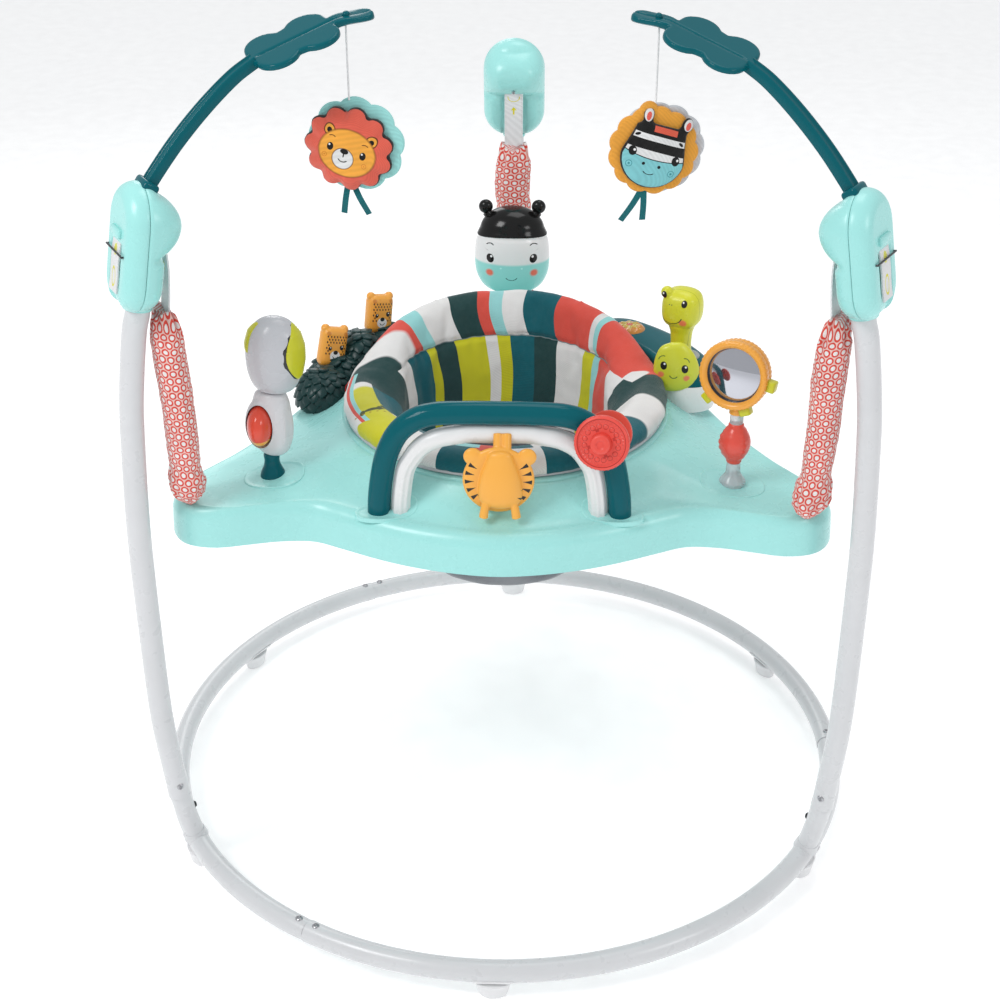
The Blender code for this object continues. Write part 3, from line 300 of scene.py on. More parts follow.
def woven(surface, period=0.0009, depth=0.00010, shade=0.10):
    """Cloth: a fine weave that needs no seams in its mapping, painted darker in its hollows and a little
    lighter on its ridges as painted shade and light, with fuzz and a soft sheen.
    """
    ridges = surface.times(surface.wave((1, 0.2, 1), period), surface.wave((1, -0.3, -1), period))
    ridges = surface.plus(ridges, surface.wave((0.1, 1, 0.2), period * 1.1))
    surface.bump(ridges, depth)
    surface.bump(surface.noise(300, 4), depth * 2)
    # Painted shade and light: the colour follows the weave's height, darker in its hollows and a little
    # lighter on its ridges.
    thread = surface.ramp(ridges, 0.2, 1.4, 0.90, 1.04)
    surface.colour = surface.scaled(surface.node_colour(), thread)
    surface.shader.inputs["Sheen Weight"].default_value = 0.25
    surface.shader.inputs["Sheen Roughness"].default_value = 0.5
    surface.shader.inputs["Specular IOR Level"].default_value = 0.25
    return surface.close(shade, 30)


def cloth(name, colour, period=0.0009, depth=0.00010):
    return woven(Surface(name, 0.85, colour), period, depth)


def steel(name, rough=0.28):
    surface = Surface(name, rough, STEEL, Metallic=1.0)
    surface.bump(surface.noise(500, 3), 0.00003)
    return surface.close(0.12, 80)


def powder_coat():
    """White powder-coated tube: a light orange peel under a clear gloss."""
    surface = Surface("powder_coat", 0.30, (0.66, 0.665, 0.68), Coat_Weight=0.25, Coat_Roughness=0.15)
    surface.bump(surface.noise(420, 1), 0.000006)
    scuffs = surface.ramp(surface.noise(70, 2), 0.70, 0.85, 0, 0.03)
    surface.colour = surface.mix(scuffs, surface.node_colour(), (0.58, 0.58, 0.59))
    return surface.close(0.03, 12)


# ---- Shapes --------------------------------------------------------------------------------
def smooth_path(points, steps):
    """A smooth curve through points, with a number of steps between each pair."""
    points = [Vector(point) for point in points]
    ends = [2 * points[0] - points[1]] + points + [2 * points[-1] - points[-2]]
    path = []
    for before, here, there, after in zip(ends, ends[1:], ends[2:], ends[3:]):
        for step in range(steps):
            t = step / steps
            path.append(0.5 * (2 * here + (there - before) * t
                               + (2 * before - 5 * here + 4 * there - after) * t ** 2
                               + (3 * here - before - 3 * there + after) * t ** 3))
    path.append(points[-1])
    return path


def radial(points):
    return [Vector((rho, 0.0, z)) for rho, z in points]


def polar(rho, azimuth, z=0.0):
    angle = math.radians(azimuth)
    return Vector((rho * math.cos(angle), rho * math.sin(angle), z))


def arc(centre, radius, start, end, steps):
    return [(centre[0] + radius * math.cos(math.radians(start + (end - start) * i / steps)),
             centre[1] + radius * math.sin(math.radians(start + (end - start) * i / steps)))
            for i in range(steps + 1)]


def circle(radius, sides, wide=1.0):
    return [(radius * wide * math.cos(2 * math.pi * i / sides), radius * math.sin(2 * math.pi * i / sides))
            for i in range(sides)]


def ease(value, low, high):
    t = min(1.0, max(0.0, (value - low) / (high - low)))
    return t * t * (3 - 2 * t)


def loft(rings, ends="caps", around=True):
    """A skin through rings of equal point counts: capped, open, or round onto itself."""
    shape = bmesh.new()
    rows = [[shape.verts.new(point) for point in ring] for ring in rings]
    count = len(rows[0])
    pairs = list(zip(rows, rows[1:]))
    if ends == "loop":
        pairs.append((rows[-1], rows[0]))
    for lower, upper in pairs:
        for index in range(count if around else count - 1):
            after = (index + 1) % count
            shape.faces.new((lower[index], lower[after], upper[after], upper[index]))
    if ends == "caps":
        shape.faces.new(rows[0][::-1])
        shape.faces.new(rows[-1])
    return shape


def sweep(path, section, ends="caps", up=Vector((0, 1, 0))):
    """A section, (across, out) points, carried along a path; out stays square to up."""
    rings = []
    for index, here in enumerate(path):
        ahead = (path[min(index + 1, len(path) - 1)] - path[max(index - 1, 0)]).normalized()
        out = ahead.cross(up).normalized()
        side = out.cross(ahead)
        outline = section(index / (len(path) - 1)) if callable(section) else section
        rings.append([here + side * a + out * b for a, b in outline])
    return loft(rings, ends)


def tube(path, radius, sides=32, up=Vector((0, 1, 0)), ends="caps"):
    if callable(radius):
        return sweep(path, lambda share: circle(radius(share), sides), ends, up)
    return sweep(path, circle(radius, sides), ends, up)


def turned(profile, centre=(0, 0, 0), axis=(0, 0, 1), steps=48, wide=(1, 1)):
    """A turned solid from (radius, height) pairs; a profile that meets itself makes a ring."""
    whole = tuple(profile[0]) == tuple(profile[-1])
    turn = Matrix.Translation(centre) @ Vector((0, 0,
                                                1)).rotation_difference(Vector(axis)).to_matrix().to_4x4()
    rings = [[turn @ Vector((max(r, 1e-5) * wide[0] * math.cos(2 * math.pi * i / steps),
                             max(r, 1e-5) * wide[1] * math.sin(2 * math.pi * i / steps), z))
              for i in range(steps)] for r, z in (profile[:-1] if whole else profile)]
    return loft(rings, "loop" if whole else "caps")


def rounded(profile, steps=5):
    """A smooth curve through (radius, height) pairs."""
    return [(max(0.0, p.x), p.y) for p in smooth_path([Vector((r, z, 0)) for r, z in profile], steps)]


def ball(centre, size, turn=None, sides=32):
    shape = bmesh.new()
    bmesh.ops.create_uvsphere(shape, u_segments=sides, v_segments=sides * 2 // 3, radius=0.5)
    matrix = Matrix.Translation(centre) @ (turn or Matrix.Identity(4)) @ Matrix.Diagonal((*size, 1))
    bmesh.ops.transform(shape, matrix=matrix, verts=shape.verts)
    return shape


def box(centre, size, rounding=0.001, turn=None):
    shape = bmesh.new()
    bmesh.ops.create_cube(shape, size=1)
    bmesh.ops.scale(shape, vec=Vector(size), verts=shape.verts)
    bmesh.ops.bevel(shape, geom=shape.edges, offset=rounding, segments=3, profile=0.5, affect="EDGES")
    matrix = Matrix.Translation(centre) @ (turn or Matrix.Identity(4))
    bmesh.ops.transform(shape, matrix=matrix, verts=shape.verts)
    return shape


def drawn_in(outline, distance):
    """An outline moved inwards, point by point."""
    count = len(outline)
    result = []
    for i in range(count):
        a = Vector(outline[i - 1])
        b = Vector(outline[(i + 1) % count])
        along = (b - a).normalized()
        result.append(Vector(outline[i]) + Vector((-along.y, along.x)) * distance)
    return result


def slab(outline, thickness, matrix, rounding=0.002, crown=0.0, steps=4):
    """A flat outline, anticlockwise, with rounded edges and a slightly domed face."""
    half = thickness / 2
    rounding = min(rounding, half)
    levels = []
    for i in range(steps + 1):
        angle = math.pi / 2 * i / steps
        levels.append((rounding * (1 - math.cos(angle)), half - rounding + rounding * math.sin(angle)))
    levels.append((rounding * 2.2, half + crown * 0.6))
    levels.append((rounding * 4.0, half + crown))
    rings = [[matrix @ Vector((*p, z)) for p in drawn_in(outline, inset)]
             for inset, z in [(a, -b) for a, b in levels[::-1]] + levels]
    return loft(rings)


def upright_plane(azimuth=0.0, centre=(0, 0, 0), lean=0.0):
    """Local X across, local Y up, local Z out along the azimuth."""
    spin = Matrix.Rotation(math.radians(azimuth), 4, "Z")
    axes = Matrix(((0, 0, 1, 0), (1, 0, 0, 0), (0, 1, 0, 0), (0, 0, 0, 1)))
    return Matrix.Translation(centre) @ spin @ Matrix.Rotation(-lean, 4, "Y") @ axes


def joined(*shapes):
    """Several shapes as one."""
    mesh = bpy.data.meshes.new("joined")
    whole = bmesh.new()
    for shape in shapes:
        bmesh.ops.recalc_face_normals(shape, faces=shape.faces)
        shape.to_mesh(mesh)
        shape.free()
        whole.from_mesh(mesh)
    bpy.data.meshes.remove(mesh)
    return whole


def spun(shape, azimuth):
    bmesh.ops.transform(shape, matrix=Matrix.Rotation(math.radians(azimuth), 4, "Z"), verts=shape.verts)
    return shape


def settle(obj):
    """Turn an object's modifiers into its mesh."""
    bpy.context.view_layer.update()
    mesh = bpy.data.meshes.new_from_object(obj.evaluated_get(bpy.context.evaluated_depsgraph_get()))
    obj.modifiers.clear()
    obj.data = mesh
    return obj


def fused(name, shape, voxel, soften=6):
    """Overlapping closed shapes as one moulding whose joints run softly into each other."""
    mesh = bpy.data.meshes.new(name)
    bmesh.ops.recalc_face_normals(shape, faces=shape.faces)
    shape.to_mesh(mesh)
    shape.free()
    obj = bpy.data.objects.new(name, mesh)
    bpy.context.scene.collection.objects.link(obj)
    remesh = obj.modifiers.new("remesh", "REMESH")
    remesh.mode = "VOXEL"
    remesh.voxel_size = voxel
    smooth = obj.modifiers.new("smooth", "SMOOTH")
    smooth.factor = 0.5
    smooth.iterations = soften
    settle(obj)
    result = bmesh.new()
    result.from_mesh(obj.data)
    bpy.data.objects.remove(obj)
    return result


def cut(obj, shape):
    """Take a closed shape away from an object."""
    mesh = bpy.data.meshes.new("cutter")
    bmesh.ops.recalc_face_normals(shape, faces=shape.faces)
    shape.transform(Matrix.Translation(AXIS))
    shape.to_mesh(mesh)
    shape.free()
    tool = bpy.data.objects.new("cutter", mesh)
    bpy.context.scene.collection.objects.link(tool)
    modifier = obj.modifiers.new("cut", "BOOLEAN")
    modifier.object = tool
    settle(obj)
    bpy.data.objects.remove(tool)
    return obj


def add(name, shape, body, skin, replaces=(), sharp=38, cuts=()):
    """A finished piece: placed in the model's frame, painted, and riding on its body."""
    bmesh.ops.recalc_face_normals(shape, faces=shape.faces)
    mesh = bpy.data.meshes.new(name)
    shape.to_mesh(mesh)
    shape.free()
    mesh.transform(Matrix.Translation(AXIS))
    obj = bpy.data.objects.new(name, mesh)
    bpy.context.scene.collection.objects.link(obj)
    for shape in cuts:
        cut(obj, shape)
    obj.data.materials.clear()
    obj.data.materials.append(skin)
    obj.data.shade_smooth()
    obj.data.set_sharp_from_angle(angle=math.radians(sharp))
    if body:
        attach(obj, body)
    if replaces:
        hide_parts(*([replaces] if isinstance(replaces, str) else replaces))
    return obj


# ---- Base ring, feet and uprights ----------------------------------------------------------
RING_R = 0.420
RING_Z = 0.032
SEAM_Z = 0.106
STUB = [(0.4213, 0.037), (0.4290, 0.070), (0.4355, SEAM_Z)]
UPRIGHT = [(0.4358, SEAM_Z + 0.0006), (0.4400, 0.150), (0.4460, 0.224), (0.4475, 0.333), (0.4470, 0.460),
           (0.4420, 0.567), (0.4375, 0.623), (0.4280, 0.688), (0.4216, 0.7126), (0.4160, 0.744)]


def screw_head(place, out, radius=0.0042):
    """A pan head with a cross recess."""
    turn = Vector((0, 0, 1)).rotation_difference(Vector(out)).to_matrix().to_4x4()
    head = turned([(0, -0.002), (radius, -0.002), (radius, 0.0004), (radius * 0.8, 0.0013),
                   (radius * 0.5, 0.0016), (radius * 0.42, 0.0008), (0, 0.0006)], place, out, 20)
    return joined(head, *[box(Vector(place) + turn @ Vector((0, 0, 0.0010)), size, 0.0001, turn)
                          for size in ((radius * 1.1, 0.0007, 0.0010), (0.0007, radius * 1.1, 0.0010))])


def frame_tubes(coat, metal, dark):
    for side, seam in (("right", 240), ("back", 0), ("left", 120)):
        gap = 0.05
        path = [polar(RING_R, seam + gap + (120 - 2 * gap) * i / 80, RING_Z) for i in range(81)]

        def ring_radius(share):
            return TUBE_R - 0.0007 * ease(share, 0.985, 0.992) + 0.0003 * ease(share, 0.03, 0.0)
        ring = tube(path, ring_radius, 36, Vector((0, 0, 1)))
        stub_path = smooth_path([polar(r, SIDES[side], z) for r, z in STUB], 6)
        weld = tube(stub_path[:3], lambda share: TUBE_R + 0.0022 * (1 - share), 32,
                    polar(1, SIDES[side] + 90))
        stub = tube(stub_path, TUBE_R - 0.0006, 36, polar(1, SIDES[side] + 90))
        add("ring_tube_" + side, joined(ring, stub, weld), "frame", coat,
            "base_tube_" + side)

        path = smooth_path(radial(UPRIGHT), 6)
        shape = tube(path, lambda share: TUBE_R + 0.0004 * ease(share, 0.035, 0.0), 36)
        add("upright_tube_" + side, spun(shape, SIDES[side]), "frame", coat,
            "upright_" + side)
        inward = polar(-1, SIDES[side])
        button_at = polar(0.4316 - TUBE_R + 0.0012, SIDES[side], 0.084)
        button = turned([(0, 0.0030), (0.0028, 0.0026), (0.0040, 0.0012), (0.0042, -0.002), (0, -0.002)],
                        button_at, inward, 20)
        face = polar(1, SIDES[side] + (90 if side == "left" else -90))
        screws = [screw_head(polar(RING_R, seam + turn, RING_Z + TUBE_R * 0.985), (0, 0, 1))
                  for turn in (1.6, -1.6)]
        screws.append(screw_head(polar(0.4372, SIDES[side], 0.125) + face * (TUBE_R - 0.0004), face))
        add("tube_screws_" + side, joined(*screws), "frame", metal)
        add("snap_button_" + side, button, "frame", dark)


def feet(skin):
    """White knobs under the ring, each with a saddle that hugs the tube."""
    for name, azimuth in (("right", 330), ("back_right", 30), ("back", 90), ("back_left", 150),
                          ("left", 210), ("front", 270)):
        knob = turned(rounded([(0.0, 0.0), (0.0088, 0.0004), (0.0104, 0.0030), (0.0112, 0.0080),
                               (0.0122, 0.0150), (0.0126, 0.0200), (0.0, 0.0202)], 3),
                      (0, 0, 0), steps=36, wide=(1.0, 1.55))
        spun(knob, azimuth)
        knob.transform(Matrix.Translation(polar(RING_R, azimuth)))
        add("rest_" + name, joined(knob, saddle_below(azimuth)), "frame", skin,
            "foot_" + name)


def saddle_below(azimuth):
    """The half sleeve under the tube, a little thicker than it."""
    path = [polar(RING_R, azimuth + 2.9 * (i / 12 - 0.5) * 2, RING_Z) for i in range(13)]
    outline = [(TUBE_R * 1.0 * math.sin(math.radians(t)) * k, -TUBE_R * math.cos(math.radians(t)) * k)
               for k, turns in ((1.10, range(-70, 71, 10)), (0.95, range(70, -71, -10))) for t in turns]
    rings = []
    for here in path:
        out = here.copy()
        out.z = 0
        out.normalize()
        rings.append([here + out * a + Vector((0, 0, b)) for a, b in outline])
    return loft(rings)


# ---- Towers --------------------------------------------------------------------------------
TOWER_CENTRE = (0.4115, 0.7808)
TOWER_LEAN = math.radians(10.2)
TOWER_HEIGHT = 0.130
TOWER_HALF = 0.040
TOWER_OUT = 0.024
TOWER_IN = 0.0165
TOWER_SEAM = 0.004
LOW_R = 0.034
DRUM_R = 0.031
DRUM_UP = 0.026
DRUM_OUT = -0.0035


def tower_place(side):
    spin = Matrix.Rotation(math.radians(SIDES[side]), 4, "Z")
    return spin @ upright_plane(0, (TOWER_CENTRE[0], 0, TOWER_CENTRE[1]), TOWER_LEAN)


def tower_half_width(up):
    top = TOWER_HEIGHT / 2 - TOWER_HALF
    low = LOW_R - TOWER_HEIGHT / 2
    if up > top:
        return math.sqrt(max(0.0, TOWER_HALF ** 2 - (up - top) ** 2))
    if up < low:
        return TOWER_HALF - LOW_R + math.sqrt(max(0.0, LOW_R ** 2 - (up - low) ** 2))
    return TOWER_HALF


def tower_edge(across, up):
    """How far a point is inside the tower's outline."""
    top = TOWER_HEIGHT / 2 - TOWER_HALF
    low = LOW_R - TOWER_HEIGHT / 2
    across = abs(across)
    if up > top:
        return TOWER_HALF - math.hypot(across, up - top)
    if up < low and across > TOWER_HALF - LOW_R:
        return LOW_R - math.hypot(across - (TOWER_HALF - LOW_R), up - low)
    return min(TOWER_HALF - across, up + TOWER_HEIGHT / 2)


def tower_depth(across, up, inner):
    """How far a half shell stands out from the tower's axis plane."""
    if not inner:
        pocket = ease(abs(across), 0.0155, 0.0135) * ease(up, 0.006, 0.002)
        return TOWER_OUT - 0.0042 * pocket, 0.016
    drum = math.sqrt(max(0.0, DRUM_R ** 2 - (up - DRUM_UP) ** 2)) - DRUM_OUT
    blend = ease(up, -0.0095, -0.0060)
    recess = 0.0026 * ease(abs(across), 0.0170, 0.0150) * ease(up, -0.004, -0.010)
    depth = TOWER_IN - recess + blend * max(0.0, drum - TOWER_IN)
    return depth, 0.013 + 0.011 * blend


def tower_shell(side, inner):
    place = tower_place(side)
    sign = -1 if inner else 1
    seam = TOWER_SEAM + sign * 0.00025
    rows = []
    columns = 44
    for step in range(91):
        up = TOWER_HEIGHT / 2 * -math.cos(math.pi * step / 90)
        up = min(TOWER_HEIGHT / 2 - 1e-5, max(1e-5 - TOWER_HEIGHT / 2, up))
        half = max(0.0008, tower_half_width(up))
        front = []
        for column in range(columns + 1):
            across = -half * math.cos(math.pi * column / columns)
            depth, rounding = tower_depth(across, up, inner)
            reach = depth + sign * -seam if not inner else depth + seam
            inside = min(1.0, max(0.0, tower_edge(across, up) / rounding))
            rise = math.sqrt(1 - (1 - inside) ** 2)
            front.append((across, seam + sign * (0.0012 + (reach - 0.0012) * rise)))
        shy = half - 0.0007
        rows.append([place @ Vector((a, up, out)) for a, out in
                     front + [(shy, seam), (-shy, seam)]])
    return loft(rows)


def tower(side, skin, metal, dark, mark):
    place = tower_place(side)
    spin = place.to_3x3()
    add("tower_front_" + side, tower_shell(side, True), "frame", skin,
        "tower_inner_" + side, 50)
    add("tower_rear_" + side, tower_shell(side, False), "frame", skin,
        "tower_outer_" + side, 50)
    collar = turned([(0.0150, 0.002), (0.0148, 0.0008), (0.0150, -0.0012), (0.0142, -0.0022),
                     (0.0131, -0.0022), (0.0131, 0.002), (0.0150, 0.002)],
                    polar(0.4212, SIDES[side], 0.7180), polar(0.20, SIDES[side] + 180, 0.98), 36)
    add("tower_collar_" + side, collar, "frame", skin)
    out = spin @ Vector((0, 0, 1))
    screw = screw_head(place @ Vector((0, 0.0080, -0.0318)), -out, 0.0022)
    add("tower_screws_" + side, screw, "frame", metal)
    pin = tube([place @ Vector((x, -0.0045, TOWER_OUT + 0.0022)) for x in (-0.025, -0.010, 0.010, 0.025)],
               0.0011, 12, out)
    legs = [tube([place @ Vector((x, -0.0045, TOWER_OUT + z)) for z in (0.0026, -0.001, -0.006)], 0.0011, 12,
                 spin @ Vector((1, 0, 0))) for x in (-0.0245, 0.0245)]
    add("strap_pin_" + side, joined(pin, *legs), "frame", dark)
    lever = box(place @ Vector((0, 0.0150, TOWER_OUT + 0.0010)), (0.027, 0.009, 0.0050), 0.002,
                spin.to_4x4())
    add("strap_lock_" + side, lever, "frame", mark)


def strap(side, skin, tail_skin):
    """Webbing from the drum to the spring; it crosses the height adjustment."""
    points = [(0.3900, 0.8000), (0.3890, 0.778), (0.3885, 0.752), (0.3910, 0.722), (0.3940, 0.6960)]
    path = smooth_path(radial(points), 8)
    section = [(0.0120, 0), (0.0119, 0.0009), (0.0105, 0.0010), (0, 0.0009), (-0.0105, 0.0010),
               (-0.0119, 0.0009), (-0.0120, 0), (-0.0119, -0.0009), (-0.0105, -0.0010), (0, -0.0009),
               (0.0105, -0.0010), (0.0119, -0.0009)]
    piece = add("height_strap_" + side, spun(sweep(path, section), SIDES[side]), None, skin,
                "hanger_strap_" + side, 60)
    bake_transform(piece)
    place = tower_place(side)
    tail = [place @ Vector((0, up, TOWER_OUT + out)) for up, out in
            ((0.0060, -0.0012), (-0.002, -0.0004), (-0.016, 0.0002), (-0.032, -0.0002), (-0.0462, 0.0004))]
    shape = sweep(smooth_path(tail, 6), section, "caps", place.to_3x3() @ Vector((1, 0, 0)))
    add("strap_end_" + side, shape, "tail_" + side, tail_skin, "strap_tail_" + side, 60)


def webbing(name, side, mark):
    """White webbing with a woven rib and a printed yellow mark."""
    surface = Surface(name, 0.75, (0.78, 0.78, 0.79))
    place = tower_place(side)
    spin = place.to_3x3()
    across = spin @ Vector((1, 0, 0))
    if mark == "arrow":
        surface.plane(polar(0.386, SIDES[side], 0.757), across * -1, (0, 0, 1))
        stem = surface.both(surface.between(surface.u, -1.1, 1.1), surface.between(surface.v, -5, 1))
        width = surface.times(surface.minus(5.0, surface.v), 0.9)
        head = surface.both(surface.below(surface.span(surface.u), width),
                            surface.between(surface.v, 0.6, 5.0))
        surface.paint((0.72, 0.66, 0.02), surface.math("MAXIMUM", stem, head))
        surface.paint((0.72, 0.66, 0.02), surface.stroke((0, 17.5), (7.5, 5.5), 1.1, 0, 0.2))
    else:
        surface.plane(place @ Vector((0, -0.025, 0)), across, spin @ Vector((0, 1, 0)))
        surface.paint((0.72, 0.66, 0.02), surface.stroke((0, -6), (4.6, 9.5), 1.3))
        surface.paint((0.72, 0.70, 0.10), surface.oval((0, 22), (4.4, 6.0)))
    stitches = surface.both(surface.between(surface.span(surface.u), 9.9, 10.4),
                            surface.below(surface.math("FRACT", surface.times(surface.v, 0.4)), 0.62))
    surface.paint((0.60, 0.60, 0.62), stitches)
    ribs = surface.wave(across, 0.0016)
    surface.bump(ribs, 0.00012)
    return woven(surface, 0.0010, 0.00010, 0.06)


# ---- Springs and their covers --------------------------------------------------------------
COVER_TOP = (0.3950, 0.7030)
COVER_FOOT = (0.3860, 0.4810)


def hang_line(z):
    share = (z - COVER_FOOT[1]) / (COVER_TOP[1] - COVER_FOOT[1])
    return COVER_FOOT[0] + share * (COVER_TOP[0] - COVER_FOOT[0])


def ring_print():
    """White cotton printed with packed coral rings, with painted shade darkening it in its folds."""
    surface = Surface("ring_print", 0.85, (0.80, 0.66, 0.62))
    uv = surface.node("ShaderNodeUVMap", uv_map="flat").outputs[0]
    cell = (0.0098, 0.0170, 1.0)
    mask = None
    spots = None
    for shift in ((0, 0, 0), (0.5, 0.5, 0)):
        where = surface.vector("ADD", surface.vector("DIVIDE", uv, cell), shift)
        where = surface.vector("SUBTRACT", surface.vector("FRACTION", where), (0.5, 0.5, 0))
        size = surface.vector("LENGTH", surface.vector("MULTIPLY", where, (cell[0], cell[1], 0)))
        ring = surface.ramp(surface.span(surface.minus(size, 0.00345)),
                            0.00105, 0.00085)
        spot = surface.ramp(size, 0.0029, 0.0027)
        mask = ring if mask is None else surface.math("MAXIMUM", mask, ring)
        spots = spot if spots is None else surface.math("MAXIMUM", spots, spot)
    surface.colour = surface.mix(0.55, surface.node_colour(), (0.86, 0.50, 0.44))
    surface.paint((0.84, 0.82, 0.80), spots)
    surface.paint((0.70, 0.065, 0.045), mask)
    # Painted shade: the cloth is darkened where the pleats fold in deepest.
    fold_shading = surface.node("ShaderNodeAttribute", attribute_name="gather").outputs[2]
    surface.paint((0.42, 0.03, 0.025), surface.times(fold_shading, 0.75))
    return woven(surface, 0.0008, 0.00008, 0.08)


def cover(side, skin, seed):
    """A gathered sleeve: two peaks beside the strap, soft folds and a pointed foot."""
    around = 96
    rows = 150
    half = (0.0168, 0.0235)
    bulk = [(0.0, 0.62), (0.035, 0.80), (0.09, 0.97), (0.2, 1.0), (0.45, 0.97), (0.7, 0.96), (0.78, 0.90),
            (0.84, 1.06), (0.91, 1.04), (0.96, 0.74), (1.0, 0.20)]
    centres = smooth_path([Vector((s, b, 0)) for s, b in bulk], 20)
    rings = []
    fold_shade_rows = []
    for row in range(rows + 1):
        share = row / rows
        full = next(p.y for p in centres if p.x >= share - 1e-6)
        z = COVER_TOP[1] + share * (COVER_FOOT[1] - COVER_TOP[1])
        ring = []
        fold_shade_row = []
        drift = 0.0026 * math.sin(share * 8 + seed) * ease(share, 0.05, 0.3) + 0.006 * ease(share, 0.82, 1.0)
        for i in range(around):
            turn = 2 * math.pi * i / around
            strength = 0.06 + 0.22 * ease(share, 0.16, 0.0) + 0.17 * ease(share, 0.80, 0.97)
            pleat = noise.noise(Vector((3.2 * math.cos(turn) + seed, 3.2 * math.sin(turn), 5.0 * share)))
            pleat += 0.6 * math.sin(turn * 9 + 5 * math.sin(share * 7 + seed)) * (strength - 0.06) * 3
            crease = noise.noise(Vector((2.0 * math.cos(turn), 2.0 * math.sin(turn) + seed, 26 * share)))
            reach = full * (1 + strength * pleat + 0.10 * crease * (0.45 + ease(share, 0.7, 0.9)))
            peak = 0.010 * abs(math.sin(turn)) ** 2 * ease(share, 0.05, 0.0)
            ring.append(Vector((hang_line(z) + reach * half[0] * math.cos(turn),
                                reach * half[1] * math.sin(turn) - drift,
                                z + peak + 0.0015 * crease)))
            # How deep each fold sinks, kept so that shade can be painted into the folds.
            deep = ease(pleat, 0.1, -0.6) * (strength - 0.06) * 3.6
            fold_shade_row.append(min(1.0, deep))
        rings.append(ring)
        fold_shade_rows.append(fold_shade_row)
    shape = loft(rings)
    uv = shape.loops.layers.uv.new("flat")
    gather = shape.verts.layers.float.new("gather")
    shape.verts.index_update()
    for index, vert in enumerate(shape.verts):
        vert[gather] = fold_shade_rows[index // around][index % around]
    girth = 2 * math.pi * 0.0195
    length = COVER_TOP[1] - COVER_FOOT[1]
    for face in shape.faces:
        columns = [loop.vert.index % around for loop in face.loops]
        wraps = max(columns) - min(columns) > around / 2
        for loop, column in zip(face.loops, columns):
            row = loop.vert.index // around
            if wraps and column < around / 2:
                column += around
            loop[uv].uv = (girth * column / around, length * 1.06 * row / rows)
    piece = add("cover_" + side, spun(shape, SIDES[side]), None, skin,
                "spring_cover_" + side, 80)
    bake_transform(piece)


def spring(side, skin):
    """The close-wound extension spring in the cover, with its two end hooks."""
    top, foot, turns = 0.678, 0.508, 44
    path = [Vector((hang_line(0.694), 0, 0.694)), Vector((hang_line(0.684), 0, 0.684))]
    for step in range(turns * 14 + 1):
        angle = 2 * math.pi * step / 14
        z = top + (foot - top) * step / (turns * 14)
        path.append(Vector((hang_line(z) + 0.0095 * math.cos(angle), 0.0095 * math.sin(angle), z)))
    path += [Vector((hang_line(0.502), 0, 0.502)), Vector((hang_line(0.492), 0, 0.492))]
    piece = add("coil_" + side, spun(tube(path, 0.0011, 6, Vector((0, 0.02, 1))), SIDES[side]), None, skin,
                "spring_" + side)
    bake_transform(piece)


# ---- Toy arms ------------------------------------------------------------------------------
ARM = [(0.4010, 0.8350), (0.3900, 0.8500), (0.3640, 0.8800), (0.3330, 0.9100), (0.3020, 0.9350),
       (0.2780, 0.9490)]
STRING_RHO = 0.1800
STRING_TOP_Z = 0.9740


def leaf_outline():
    """Two big pairs of lobes and a narrow tip, about the rib, as (along, across)."""
    upper = [(0.1425, 0.0), (0.1400, 0.0040)]
    upper += arc((0.1150, 0.0140), 0.0225, -10, 145, 16)
    upper += arc((0.0700, 0.0145), 0.0225, 38, 195, 16)
    upper += [(0.0420, 0.0100), (0.0300, 0.0112), (0.0200, 0.0115)]
    upper += arc((0.0118, 0.0), 0.0118, 80, 180, 8)
    lower = [(along, -across) for along, across in upper[::-1]][1:-1]
    return upper + lower


LEAF_ROLL = 8


